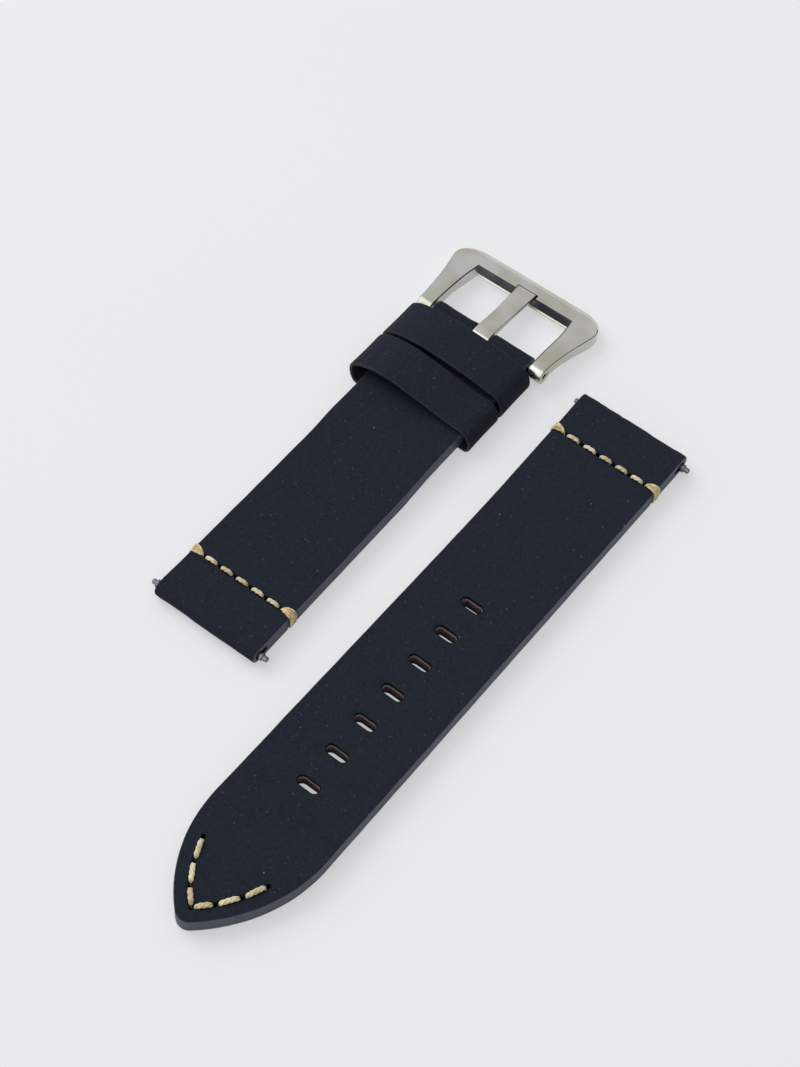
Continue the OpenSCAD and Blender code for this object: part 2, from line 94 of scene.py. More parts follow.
forward = Vector((math.cos(HEADING) * math.cos(DOWN), math.sin(HEADING) * math.cos(DOWN), -math.sin(DOWN)))
level = forward.cross(Vector((0, 0, 1))).normalized()
right = Matrix.Rotation(-ROLL, 3, forward) @ level
up = right.cross(forward)
camera = bpy.data.objects.new("camera", bpy.data.cameras.new("camera"))
camera.data.lens = 68.79
camera.data.sensor_width = 36
camera.data.clip_start = 0.01
lug_corner = TAIL @ Vector((0, 0, 0))
camera.matrix_world = (Matrix.Translation(lug_corner + CAMERA_FROM_LUG)
                       @ Matrix((right, up, -forward)).transposed().to_4x4())
scene.collection.objects.link(camera)
scene.camera = camera
scene.view_settings.view_transform = "Standard"
print("camera at", [round(v, 4) for v in camera.location])

# %% [markdown]
# ## Building node trees
# Shaders and Geometry Nodes are both trees of nodes, so one small function serves them all: it
# adds a node, sets its properties, and fills each input with a value or a link. Colours are written
# as the eye sees them, and turned to the linear values that the renderer works in.

# %% Nodes and colours
def plug(tree, node, inputs):
    """Fills each named or numbered input of a node with a link or a value."""
    for key, value in inputs.items():
        if isinstance(value, bpy.types.NodeSocket):
            tree.links.new(value, node.inputs[key])
        else:
            node.inputs[key].default_value = value


def add(tree, kind, inputs=None, **settings):
    made = tree.nodes.new(kind)
    for name, value in settings.items():
        setattr(made, name, value)
    plug(tree, made, inputs or {})
    return made


def colour(text):
    """An sRGB hex colour such as d8cba0 as linear RGBA."""
    channels = [int(text[i:i + 2], 16) / 255 for i in (0, 2, 4)]
    return tuple(c / 12.92 if c <= 0.04045 else ((c + 0.055) / 1.055) ** 2.4 for c in channels) + (1,)


def new_material(name):
    material = bpy.data.materials.new(name)
    material.use_nodes = True
    tree = material.node_tree
    return material, tree, tree.nodes["Principled BSDF"]


print("e8e8e8 is linear", [round(c, 3) for c in colour("e8e8e8")])

# %% [markdown]
# The patterns of leather, thread and steel all start from the piece's own position, so that they
# have a real size and stay on the piece when it moves. One function gives that position, one a cloudy
# pattern of a given size, and one ends a material: it fills the shader's inputs and adds the relief.

# %% Patterns in millimetres
def object_position(tree, stretch=(1, 1, 1)):
    """The piece's own position in millimetres, so that a scale of 1 is one cycle per millimetre."""
    place = add(tree, "ShaderNodeTexCoord")
    return add(tree, "ShaderNodeMapping",
               {"Vector": place.outputs["Object"], "Scale": tuple(1000 * v for v in stretch)}).outputs[0]


def blotches(tree, position, size, low, high, detail=4):
    """Noise of that size in mm, spread from 0 to 1 between two of its levels."""
    cloud = add(tree, "ShaderNodeTexNoise", {"Vector": position, "Scale": 1 / size, "Detail": detail})
    return add(tree, "ShaderNodeMapRange",
               {"Value": cloud.outputs["Fac"], "From Min": low, "From Max": high}).outputs[0]


def two_tone(tree, shader, pattern, first, second, height, depth, **inputs):
    """A pattern blends two colours, and a height from 0 to 1 stands depth mm off the surface.

    Either colour is a hex text or a socket. Further inputs have _ in place of a space."""
    ends = [colour(c) if isinstance(c, str) else c for c in (first, second)]
    blend = add(tree, "ShaderNodeMix", {0: pattern, 6: ends[0], 7: ends[1]}, data_type="RGBA")
    bump = add(tree, "ShaderNodeBump", {"Height": height, "Distance": depth * MM, "Strength": 1.0})
    plug(tree, shader, {"Base Color": blend.outputs[2], "Normal": bump.outputs[0]})
    plug(tree, shader, {name.replace("_", " "): value for name, value in inputs.items()})


# %% [markdown]
# ## Leather
# The strap is vegetable-tanned hide, dyed black and waxed, with a matt face. Wax and oil lie
# unevenly, so the black wanders between a warm and a blue cast over a few millimetres, and pale
# specks of fibre show here and there. A photograph of hide could be wrapped round each piece, but
# its scale would be hard to keep on the folds. Noise in the piece's own millimetres has no seams: it
# makes the mottle, the pores and the fine creases. A Voronoi pattern kept only in the very middle of
# a few cells makes the specks. Matt wax mirrors little, so the specular level is low as well.

# %% Waxed black hide
def specks(tree, place, pitch, low, high, chance):
    """Small dots of fibre, at most one in a cell of the given pitch in mm, from low to high across."""
    cells = add(tree, "ShaderNodeTexVoronoi", {"Vector": place, "Scale": 1 / pitch, "Randomness": 1.0})
    dot = add(tree, "ShaderNodeMapRange", {"Value": cells.outputs["Distance"], "From Min": high / pitch,
                                           "From Max": low / pitch}).outputs[0]
    pick = add(tree, "ShaderNodeSeparateColor", {"Color": cells.outputs["Color"]})
    shown = add(tree, "ShaderNodeMapRange",
                {"Value": pick.outputs[0], "From Min": 1 - chance, "From Max": 1.0}).outputs[0]
    return add(tree, "ShaderNodeMath", {0: dot, 1: shown}, operation="MULTIPLY").outputs[0]


def waxed_hide():
    material, tree, shader = new_material("waxed_pull_up_hide")
    place = object_position(tree)
    mottle = blotches(tree, place, 5.5, 0.35, 0.68)
    smudge = blotches(tree, place, 0.6, 0.3, 0.9)
    large = specks(tree, place, 2.7, 0.06, 0.2, 0.3)
    small = specks(tree, place, 1.1, 0.05, 0.2, 0.7)
    tint = colour("1b1f29")
    for pattern, over in ((mottle, "1d242e"), (smudge, "252b35"), (large, "7d848a")):
        tint = add(tree, "ShaderNodeMix", {0: pattern, 6: tint, 7: colour(over)},
                   data_type="RGBA").outputs[2]
    pores = blotches(tree, place, 0.32, 0.3, 0.7, detail=3)
    creases = add(tree, "ShaderNodeTexVoronoi", {"Vector": place, "Scale": 1 / 0.9},
                  feature="SMOOTH_F1").outputs["Distance"]
    grain = add(tree, "ShaderNodeMath", {0: pores, 1: creases}, operation="ADD").outputs[0]
    rough = add(tree, "ShaderNodeMapRange", {"Value": smudge, "To Min": 0.8, "To Max": 0.68}).outputs[0]
    two_tone(tree, shader, small, tint, "4a525d", grain, 0.06, Roughness=rough, Specular_IOR_Level=0.08)
    return material


HIDE = waxed_hide()
print("grain side:", HIDE.name)

# %% [markdown]
# The edges are cut, sanded round, dyed and rubbed with a hot iron. That burnished face is smoother
# and a little bluer than the grain side, and it reads as a grey band above the table. Dye runs over
# the first half millimetre of each punched hole. That rim, the awl holes of the face and the bar's
# hollow are painted near black, darker than the dye, as painted shade inside the hole. Below the rim
# the raw cut keeps its grey-brown, and the filler between the leathers is a redder bonded board. All
# are the same small recipe with other colours: noise between two of them, and a rougher bump on the
# raw cuts.

# %% Burnished edges and raw cuts
def burnished_edge(name, dark, light, rough):
    material, tree, shader = new_material(name)
    place = object_position(tree, (1, 1, 3))
    streaks = blotches(tree, place, 1.6, 0.35, 0.7)
    ripple = blotches(tree, place, 0.5, 0.3, 0.7, detail=2)
    two_tone(tree, shader, streaks, dark, light, ripple, 0.03, Roughness=rough, Specular_IOR_Level=0.2)
    return material


def raw_cut(name, dark, light):
    material, tree, shader = new_material(name)
    place = object_position(tree, (1, 1, 2))
    fibres = blotches(tree, place, 0.35, 0.35, 0.7)
    two_tone(tree, shader, fibres, dark, light, fibres, 0.06, Roughness=0.9, Specular_IOR_Level=0.1)
    return material


EDGE = burnished_edge("burnished_hide_edge", "434854", "4f5561", 0.5)
KEEPER_EDGE = burnished_edge("dyed_keeper_edge", "1b202a", "272c37", 0.5)
HIDE_CUT = raw_cut("raw_hide_cut", "8a7f7f", "b3a8a8")
BOARD_CUT = raw_cut("bonded_leather_board", "604b4a", "7f6664")
LINING_CUT = raw_cut("raw_lining_cut", "2c2728", "453e3e")
# Near black, darker than the dyed face: real dye with painted shade for the inside of a hole.
DYED_CUT_AND_SHADE = raw_cut("dyed_cut_painted_shade", "08080b", "101015")
print("edges and cuts:", [m.name for m in (EDGE, KEEPER_EDGE, HIDE_CUT, BOARD_CUT, LINING_CUT, DYED_CUT_AND_SHADE)])

# %% [markdown]
# The side that lies on the wrist is a softer calf leather, dyed dark, with a short nap and a fine
# grain. It is unseen in the photograph, and follows what such straps usually have.

# %% Calf lining
def lining_nap():
    material, tree, shader = new_material("calf_lining")
    place = object_position(tree)
    mottle = blotches(tree, place, 3.5, 0.35, 0.7)
    nap = blotches(tree, place, 0.22, 0.3, 0.7, detail=3)
    two_tone(tree, shader, mottle, "20232b", "2b2e37", nap, 0.04, Roughness=0.8, Specular_IOR_Level=0.3)
    return material


LINING = lining_nap()
print("wrist side:", LINING.name)

# %% [markdown]
# ## Thread
# Waxed linen thread is cream, and goes golden brown where wax and dye gather. That differs from one
# stitch to the next more than along one stitch. So each length of cord carries a number, and the
# colour mixes a share drawn from that number with a little noise. The thread that goes round the
# edges has been rubbed more, and is more golden.

# %% Waxed linen thread
def waxed_thread(name, pale, deep):
    """Each length of thread has its own share of wax, from the number that its path carries."""
    material, tree, shader = new_material(name)
    place = object_position(tree)
    number = add(tree, "ShaderNodeAttribute", attribute_name="stitch").outputs["Fac"]
    share = add(tree, "ShaderNodeTexWhiteNoise", {"W": number}, noise_dimensions="1D").outputs["Value"]
    wax = blotches(tree, place, 0.9, 0.38, 0.72)
    wax = add(tree, "ShaderNodeMix", {0: 0.4, 2: wax, 3: share}, data_type="FLOAT").outputs[0]
    fuzz = blotches(tree, place, 0.12, 0.3, 0.7, detail=2)
    two_tone(tree, shader, wax, pale, deep, fuzz, 0.03, Roughness=0.55, Sheen_Weight=0.15)
    return material


THREAD = waxed_thread("waxed_linen_thread", "eee3c1", "b09768")
EDGE_THREAD = waxed_thread("waxed_linen_thread_golden", "f0dcab", "96713c")
print("threads:", THREAD.name, EDGE_THREAD.name)

# %% [markdown]
# ## Metal
# The buckle is stainless steel with a satin face: fine lines of one direction, drawn here as noise
# stretched a hundredfold, blur what it mirrors. The lines are far coarser than real ones, which are
# too fine to show. The spring bars are turned, so their lines run round them, and their steel is
# painted darker, as painted shade on the tips beside the leather. Three places of the buckle are
# painted dark: the milled wall inside its far bar and the narrow edges between its faces, as painted
# reflection of dark surroundings, and the broached walls of the screw's socket, as painted shade in
# the hole. Each is a steel of its own, because an even studio gives an edge nothing dark to mirror.

# %% Stainless steel, satin and turned
def steel(name, base, shade, rough, lines, depth):
    material, tree, shader = new_material(name)
    place = object_position(tree, lines)
    brush = blotches(tree, place, 1.0, 0.3, 0.7, detail=2)
    cloud = blotches(tree, object_position(tree), 7.0, 0.35, 0.65, detail=1)
    spread = add(tree, "ShaderNodeMapRange",
                 {"Value": brush, "To Min": rough - 0.01, "To Max": rough + 0.02}).outputs[0]
    two_tone(tree, shader, cloud, base, shade, brush, depth, Roughness=spread, Metallic=1.0)
    return material


SATIN = steel("satin_stainless_steel", "d2d1ce", "bfbdae", 0.25, (0.05, 7, 7), 0.0001)
# Painted dark reflection on the far bar's inner wall and the tongue's notch.
WALL_STEEL_PAINTED_REFLECTION = steel("steel_painted_dark_reflection", "5d5e64", "303137", 0.3, (9, 0.15, 9), 0.002)
# Turned steel with a darker base, as painted shade on the spring bars' tips.
TURNED_STEEL_PAINTED_SHADE = steel("turned_steel_painted_shade", "7d7f84", "66696f", 0.32, (12, 0.3, 12), 0.003)
# Painted dark reflection on the narrow eased edges of the frame and the tongue.
EDGE_STEEL_PAINTED_REFLECTION = steel("steel_edge_painted_dark_reflection", "4c4c50", "3c3c40", 0.3, (1, 1, 1), 0.0001)
# Painted shade for the walls of the screw's socket.
SOCKET_STEEL_PAINTED_SHADE = steel("socket_steel_painted_shade", "18181b", "0f0f12", 0.5, (2, 2, 2), 0.001)
print("steels:", [m.name for m in (SATIN, WALL_STEEL_PAINTED_REFLECTION, TURNED_STEEL_PAINTED_SHADE, EDGE_STEEL_PAINTED_REFLECTION, SOCKET_STEEL_PAINTED_SHADE)])

# %% [markdown]
# ## Cutting leather flat
# A strap maker cuts, punches and grooves each leather while it lies flat, and only then folds it
# round the spring bar. The same order works for a mesh, and it keeps every outline a plain drawing
# in two dimensions. An outline is a list of points, made of straight runs, arcs and Bezier curves.

# %% Outlines
def inset(outline, depth):
    """A closed counter-clockwise outline, drawn in by depth."""
    moved = []
    for i, point in enumerate(outline):
        before, after = outline[i - 1], outline[(i + 1) % len(outline)]
        inward = Vector((before.y - after.y, after.x - before.x)).normalized()
        moved.append(point + inward * depth)
    return moved


def arc(centre, radius, start, end, steps):
    angles = [math.radians(start + (end - start) * i / steps) for i in range(steps + 1)]
    return [Vector((centre[0] + radius * math.cos(a), centre[1] + radius * math.sin(a))) for a in angles]


def bezier(a, b, c, d, steps):
    points = []
    for i in range(steps + 1):
        t = i / steps
        weights = ((1 - t) ** 3, 3 * (1 - t) ** 2 * t, 3 * (1 - t) * t * t, t ** 3)
        points.append(sum((Vector(p) * k for p, k in zip((a, b, c, d), weights)), Vector((0,) * len(a))))
    return points


def straight(a, b, pitch=2.0):
    """Points from a to b, without b."""
    steps = max(1, round((Vector(b) - Vector(a)).length / pitch))
    return [Vector(a).lerp(Vector(b), i / steps) for i in range(steps)]


def capsule(p, q, width):
    """The outline of a slot or stitch groove from p to q, round at both ends."""
    p, q = Vector(p), Vector(q)
    lean = math.degrees(math.atan2(q.y - p.y, q.x - p.x))
    return arc(q, width / 2, lean - 90, lean + 90, 8) + arc(p, width / 2, lean + 90, lean + 270, 8)


print("a slot's outline has", len(capsule((0, 0), (2, 0), 1)), "points")

# %% [markdown]
# A slab is a stack of such outlines, each drawn in a little more towards the face, which rounds the
# edge. A Bevel modifier could round it too, but it fails where the outline's points lie close.

# %% Slabs
def slab(outline, levels, materials, name="slab"):
    """A closed solid through levels of (height, inset, material of the strip above it)."""
    mesh = bmesh.new()
    rings = [[mesh.verts.new((p.x, p.y, z)) for p in inset(outline, depth)] for z, depth, _ in levels]
    count = len(outline)
    for (low, high), level in zip(zip(rings, rings[1:]), levels):
        for i in range(count):
            face = mesh.faces.new((low[i - 1], low[i], high[i], high[i - 1]))
            face.material_index = level[2]
            face.smooth = True
    mesh.faces.new(rings[-1])
    mesh.faces.new(list(reversed(rings[0])))
    return as_object(mesh, name, materials)


def as_object(mesh, name, materials):
    bmesh.ops.recalc_face_normals(mesh, faces=mesh.faces)
    data = bpy.data.meshes.new(name)
    mesh.to_mesh(data)
    mesh.free()
    for material in materials:
        data.materials.append(material)
    made = bpy.data.objects.new(name, data)
    scene.collection.objects.link(made)
    return made


# %% [markdown]
# Punches and grooves are smaller slabs, taken away with a Boolean. It hands on their materials, so
# the wall of a hole gets its own colour. Tools that touch each other confuse the exact solver, so
# those of one cut stand apart.

# %% Cuts
def evaluated(piece):
    """Turns a piece's modifiers into plain mesh."""
    graph = bpy.context.evaluated_depsgraph_get()
    data = bpy.data.meshes.new_from_object(piece.evaluated_get(graph))
    piece.modifiers.clear()
    piece.data = data


def cut(piece, tools):
    """Takes the tools away from a piece. Tools of one call don't touch each other."""
    if not tools:
        return
    bpy.ops.object.select_all(action="DESELECT")
    for tool in tools:
        tool.select_set(True)
    bpy.context.view_layer.objects.active = tools[0]
    bpy.ops.object.join()
    modifier = piece.modifiers.new("cut", "BOOLEAN")
    modifier.operation = "DIFFERENCE"
    modifier.solver = "EXACT"
    modifier.material_mode = "TRANSFER"
    modifier.object = tools[0]
    evaluated(piece)
    bpy.data.objects.remove(tools[0])


def keep_faces_flat(piece):
    """Large faces decide the shading at their corners, so that small rounded edges don't tilt it."""
    modifier = piece.modifiers.new("flat_faces_stay_flat", "WEIGHTED_NORMAL")
    modifier.keep_sharp = True
    evaluated(piece)


# %% [markdown]
# A flat blank has no points to bend by between its ends. So it is sliced at stations, close together
# where a fold comes, and then every point is moved by one function from flat to folded. A Curve or
# Simple Deform modifier could bend it, but not round two bars and over a rise in one go.

# %% Slicing a blank so that it can bend, and bending it
FOLD_ANGLE = math.radians(38)


def slice_and_bend(piece, along, across, shape, frame_of_half, channel=None):
    """Slices a flat blank at the given stations, moves every point by shape, and sets it in its half.

    A channel is a tool in the half's millimetres, taken away when the blank is bent. Edges sharper
    than FOLD_ANGLE stay sharp."""
    mesh = bmesh.new()
    mesh.from_mesh(piece.data)
    for stations, normal in ((along, Vector((1, 0, 0))), (across, Vector((0, 1, 0)))):
        for station in stations:
            parts = mesh.verts[:] + mesh.edges[:] + mesh.faces[:]
            bmesh.ops.bisect_plane(mesh, geom=parts, dist=1e-4, plane_co=normal * station, plane_no=normal)
    for vertex in mesh.verts:
        vertex.co = frame_of_half @ shape(*vertex.co)
    bmesh.ops.remove_doubles(mesh, verts=mesh.verts, dist=1e-7)
    bmesh.ops.triangulate(mesh, faces=[f for f in mesh.faces if len(f.verts) > 4])
    bmesh.ops.recalc_face_normals(mesh, faces=mesh.faces)
    for face in mesh.faces:
        face.smooth = True
    for edge in mesh.edges:
        if len(edge.link_faces) == 2 and edge.calc_face_angle() > FOLD_ANGLE:
            edge.smooth = False
    mesh.to_mesh(piece.data)
    mesh.free()
    if channel:
        set_in(channel, frame_of_half)
        cut(piece, [channel])
    keep_faces_flat(piece)
    print(piece.name, len(piece.data.polygons), "faces")


# %% [markdown]
# Three more helpers. A rod along w is a bar, or the tool for a bore. A finished piece is brought from
# its half's millimetres into the world, and then stands in for the plain solids of the construction.

# %% Rods, and pieces that stand for solids
def rod(radius, start, end, at, name="rod", sides=48, materials=()):
    """A cylinder along w, from start to end, at a place (s, z)."""
    mesh = bmesh.new()
    bmesh.ops.create_cone(mesh, cap_ends=True, segments=sides, radius1=radius, radius2=radius,
                          depth=abs(end - start))
    bmesh.ops.rotate(mesh, verts=mesh.verts, matrix=Matrix.Rotation(math.pi / 2, 3, "X"))
    bmesh.ops.translate(mesh, verts=mesh.verts, vec=(at[0], (start + end) / 2, at[1]))
    return as_object(mesh, name, materials)


def set_in(piece, frame_of_half):
    """Puts a piece that was drawn in a half's millimetres into the world."""
    piece.data.transform(frame_of_half)


def stand_in(piece, body, slot, *nodes):
    """Sets a finished piece on its body, in place of the plain solids that it stands for."""
    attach(piece, body)
    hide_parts(*nodes)


# %% [markdown]
# ## Sizes of the strap
# These are the sizes of the construction, in millimetres. What the frame holds is read from it: the
# lengths of both halves, and the place of the buckle's hinge. The rest is written once, here.

# %% Strap sizes
UPPER, FILLER, LINER = 1.2, 1.35, 1.2
THICK = UPPER + FILLER + LINER
FOLD = THICK / 2
HALF = 12.0
LUG_FLAP, BUCKLE_FLAP = 15.0, 18.0
low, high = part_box("long_upper_leather")
TAIL_LEN = (high.x - low.x) / MM
BUCKLE_LEN = pin.x + FOLD
LIFT = pin.z - FOLD
KEEPER_T, KEEPER_W, KEEPER_GAP, FIXED_BACK, TRAVEL = 0.75, 10.0, 1.0, 5.0, 8.0
FIXED_AT = BUCKLE_LEN - FIXED_BACK - KEEPER_W
SLIDING_AT = FIXED_AT - KEEPER_GAP - KEEPER_W
RISE_END = SLIDING_AT - TRAVEL - 1
RISE_START = RISE_END - 10
BAR_R, SCREW_R = 1.05, 0.98
TAIL_SEAM, BUCKLE_HALF_SEAM, HIDDEN_SEAM = 11.4, 11.3, 9.3
HOLE_PITCH, HOLES = 3.75, 6
TIP_LEAN, LEAN_LEN = 0.7, 26.0
LUG_WIDER, WIDER_LEN = 0.75, 42
print("tail half %.1f mm, buckle half %.1f mm, lift %.2f mm" % (TAIL_LEN, BUCKLE_LEN, LIFT))

# %% [markdown]
# Nothing here is cut by a machine. The tail's point leans to one side, one edge widens towards the
# lugs, and every face and edge wavers a little. Blender's own noise gives the same waver on each run.

# %% Rises, leans and wavers
def smooth(t):
    """From 0 to 1 with an easy start and end."""
    t = min(1.0, max(0.0, t))
    return t * t * (3 - 2 * t)


def rise(s):
    """How far the buckle half has left the table at s."""
    return LIFT * smooth((s - RISE_START) / (RISE_END - RISE_START))


def hand_cut(s, w):
    """Where a place across the tail half really lies: the point leans, and one side widens at the lugs."""
    widened = LUG_WIDER * (1 - smooth(s / WIDER_LEN)) * smooth(-w / HALF)
    return w - TIP_LEAN * smooth((s - TAIL_LEN + LEAN_LEN) / LEAN_LEN) - widened


def waver(x, y, size, amount):
    """A smooth random unevenness, the same on every run."""
    return amount * noise.noise(Vector((x / size, y / size, 3.7)))


print("the buckle half rises %.2f mm between %.1f and %.1f mm" % (rise(RISE_END), RISE_START, RISE_END))

# %% [markdown]
# ## Folding the upper leather
# The upper leather runs over the filler, round the spring bar and back beneath, where it is turned
# under for 15 mm. At the buckle it goes round the screw bar in the same way. Leather doesn't bend
# like paper: its flesh side is squeezed against the bar, and its grain side swells a little, unevenly
# across. So each point is placed by how far along and how deep in the leather it lies.

# %% Bending an upper leather round its bars
SWELL, SWELL_LEN = 0.5, 6
BUCKLE_SWELL, SCREW_SWELL = 0.2, 0.4
SWELL_WAVE, SWELL_DRIFT = 0.2, 0.1


def fold_point(s, w, n, centre, bore, bulge, ahead=0.0):
    """Where a point lands that lies s past the start of a fold, n above the flesh side."""
    angle = s / FOLD
    squeeze = smooth(min(angle, math.pi - angle) / 0.4)
    flesh = (FOLD - UPPER) + (bore - (FOLD - UPPER)) * squeeze
    swell = bulge * (1 + math.cos(angle)) / 2 + ahead * math.sin(angle)
    swell += waver(w, 0, 1.7, SWELL_WAVE) * squeeze
    radius = flesh + (FOLD - flesh + swell) * n / UPPER
    return centre[0], centre[1], radius, angle


def upper_shape(s, w, n, buckle_end=False):
    """Flat blank to folded leather. s runs along the grain side, and is negative on the lug flap.

    The leather swells over the bar, which is thicker than the filler that it replaces."""
    grain = max(0.0, n / UPPER)
    bulge = BUCKLE_SWELL if buckle_end else SWELL
    if s < FOLD - math.pi * FOLD:
        back = FOLD + (FOLD - math.pi * FOLD - s)
        return Vector((back, w if buckle_end else hand_cut(back, w), UPPER - n))
    if s < FOLD:
        x, z, radius, angle = fold_point(FOLD - s, w, n, (FOLD, FOLD), BAR_R, bulge)
        return Vector((x - radius * math.sin(angle), w if buckle_end else hand_cut(0, w),
                       z + radius * math.cos(angle)))
    if buckle_end and s > pin.x:
        if s < pin.x + math.pi * FOLD:
            x, z, radius, angle = fold_point(s - pin.x, w, n, (pin.x, pin.z), SCREW_R, 0.0, SCREW_SWELL)
            return Vector((x + radius * math.sin(angle), w, z + radius * math.cos(angle)))
        return Vector((pin.x - (s - pin.x - math.pi * FOLD), w, LIFT + UPPER - n))
    lifted = rise(s) if buckle_end else 0.0
    swell = bulge * (1 - smooth((s - FOLD) / SWELL_LEN)) + waver(s, w, 9, SWELL_DRIFT)
    return Vector((s, w if buckle_end else hand_cut(s, w), THICK - UPPER + n + swell * grain + lifted))


fold_top = upper_shape(FOLD, 0.0, UPPER).z
print("over the spring bar the grain side is %.2f mm high, elsewhere %.2f mm" % (fold_top, THICK))

# %% [markdown]
# ## Rounded edges, punches and grooves
# The upper leather is rounded on its grain side and the lining on its wrist side, so the three
# layers together make one rounded edge. A hairline groove stays where two layers are glued. Each
# leather has up to four materials, always in the same order, and a strip of an edge or of a hole's
# wall names the one that it shows.

# %% Edge profiles
ROUND, WRIST_ROUND, GROOVE = 0.28, 0.35, 0.05
# The fourth material is dye painted near black, as painted shade inside holes and slots.
FACE, SIDE, INSIDE, DYED_AND_SHADED = 0, 1, 2, 3


def rounded_up(thick, radius=ROUND):
    levels = [(0, GROOVE, SIDE), (GROOVE, 0, SIDE), (thick - radius, 0, SIDE)]
    for k in range(1, 6):
        a = math.radians(18 * k)
        depth = radius * (1 - math.cos(a))
        levels.append((thick - radius + radius * math.sin(a), depth, SIDE if k < 3 else FACE))
    return levels


def rounded_down(thick):
    return [(thick - z, depth, SIDE) for z, depth, _ in reversed(rounded_up(thick, WRIST_ROUND))]


def square_edge(thick):
    return [(0, GROOVE, SIDE), (GROOVE, 0, SIDE), (thick - GROOVE, 0, SIDE), (thick, GROOVE, SIDE)]


print("a rounded edge has", len(rounded_up(UPPER)), "levels")

# %% [markdown]
# A punch pulls the face down with it, so its hole flares at the face. An awl is pushed through at a
# slant, and leaves a slit that the thread fills. A pulled stitch presses a hollow into the leather
# between its holes, deepest in the middle of its width.

# %% Punches, grooves and awl holes
DYE_AND_SHADE_DEPTH, PUNCH_PAST, AWL_W = 0.5, 1, 0.6


def punch(outline, thick, flare, materials, rim=FACE):
    """A punch right through, whose hole flares at the face. The first of its wall may be dyed, and is then painted
    near black as shade in the hole.
    """
    levels = [(-PUNCH_PAST, 0, INSIDE), (thick - DYE_AND_SHADE_DEPTH, 0, rim), (thick - flare, 0, rim),
              (thick - flare * 0.3, -flare * 0.3, rim), (thick, -flare, rim),
              (thick + PUNCH_PAST, -flare * 2, rim)]
    return slab(outline, levels, materials, "punch")


def groove(p, q, face, depth, width, materials, end=0.0):
    """A boat-shaped hollow under a stitch, cut down from a face, or up if the depth is negative.

    The end of the groove stops that far short of each hole."""
    p, q = Vector(p), Vector(q)
    step = (q - p).normalized() * end
    clear = math.copysign(0.6, depth)
    levels = [(face - depth, width * 0.36, FACE), (face - depth * 0.75, width * 0.2, FACE),
              (face - depth * 0.35, width * 0.06, FACE), (face, 0, FACE), (face + clear, -0.1, FACE)]
    return slab(capsule(p + step, q - step, width), levels, materials, "groove")


def cut_grooves(piece, stitches, face, depth, materials, width, end):
    """Every second groove at a time, because the grooves of neighbouring stitches touch."""
    for first in (0, 1):
        cut(piece, [groove(p, q, face, depth, width, materials, end) for p, q in stitches[first::2]])


# With the fourth material as its wall, the slit is painted near black, as painted shade in the gap round the
# thread.
def awl_hole(p, top, materials, wall=FACE):
    """The slanted slit that an awl leaves for the thread, right through, a little wider at the top."""
    p = Vector(p)
    slit = Vector((0.1, 0.1))
    levels = [(-PUNCH_PAST, 0, wall), (top - 0.6, 0, wall), (top - 0.3, -0.03, wall),
              (top - 0.1, -0.07, wall), (top, -0.12, wall), (top + PUNCH_PAST, -0.2, wall)]
    return slab(capsule(p - slit, p + slit, AWL_W), levels, materials, "hole")


print("punches reach %.0f mm past both faces of a leather" % PUNCH_PAST)

# %% [markdown]
# ## The holes of the seams
# The thread and the leather must agree, so the holes are worked out once. The seam at a lug end has
# six holes across. The seam at the tip is a V that follows the point, one hole on its middle line and
# three on each side. The seven slots for the tongue lie on the same middle line.

# %% Seam holes and slots
def row(s):
    """The holes of a seam straight across at s."""
    return [Vector((s, (k - (HOLES - 1) / 2) * HOLE_PITCH)) for k in range(HOLES)]


TIP_BACK, TIP_SIDE = (2.9, 5.9, 9.8, 14.2), (0, 2.9, 5.5, 7.4)
tip_holes = [Vector((TAIL_LEN - TIP_BACK[abs(k)], math.copysign(TIP_SIDE[abs(k)], k)))
             for k in range(-3, 4)]
SLOT_FIRST, SLOT_PITCH, SLOTS, SLOT_LEN, SLOT_W = 55.8, 8.05, 7, 5.0, 2.3
slot_lines = [(Vector((SLOT_FIRST + k * SLOT_PITCH, (SLOT_W - SLOT_LEN) / 2)),
               Vector((SLOT_FIRST + k * SLOT_PITCH, (SLOT_LEN - SLOT_W) / 2))) for k in range(SLOTS)]


def pairs(holes):
    """The stitches of a seam, each from one hole to the next."""
    return list(zip(holes, holes[1:]))


tip_runs = [(q - p).length for p, q in pairs(tip_holes)]
print("stitches round the point, from hole to hole (mm):", [round(run, 2) for run in tip_runs])

# %% [markdown]
# ## Outlines of the blanks
# The tail half is straight for most of its length, and its point is two wide arcs that meet a small
# one. A blade guided by hand wavers by a few hundredths of a millimetre along a long edge. A blank is
# drawn longer than the finished strap, because it is folded: the flap that goes under lies at
# negative s.

# %% Outlines of the blanks
EDGE_WAVER = 0.05


def edge_waver(points):
    return [Vector((p.x, p.y + waver(p.x, p.y, 4, EDGE_WAVER))) for p in points]


def tail_outline(start):
    """The tail half seen from above, from a straight end at start to the point."""
    nose_r, side_r = 2.5, 30.0
    nose_x, centre = TAIL_LEN - nose_r, HALF - side_r
    side_x = nose_x - math.sqrt((side_r - nose_r) ** 2 - centre ** 2)
    meet = math.degrees(math.atan2(-centre, nose_x - side_x))
    upper_side = (arc((side_x, centre), side_r, 90, meet + 1, 26) + arc((nose_x, 0), nose_r, meet, 12, 9))
    lower_side = [Vector((p.x, -p.y)) for p in upper_side]
    end = straight((start, HALF), (start, -HALF))
    near = straight((start, -HALF), (side_x, -HALF))
    far = list(reversed(straight((start, HALF), (side_x, HALF))[1:]))
    return end + edge_waver(near + lower_side) + [Vector((TAIL_LEN, 0))] + edge_waver(
        list(reversed(upper_side)) + far)


def strip_outline(start, end):
    near = edge_waver(straight((start, -HALF), (end, -HALF)))
    far = edge_waver(straight((end, HALF), (start, HALF)))
    return near + straight((end, -HALF), (end, HALF)) + far + straight((start, HALF), (start, -HALF))


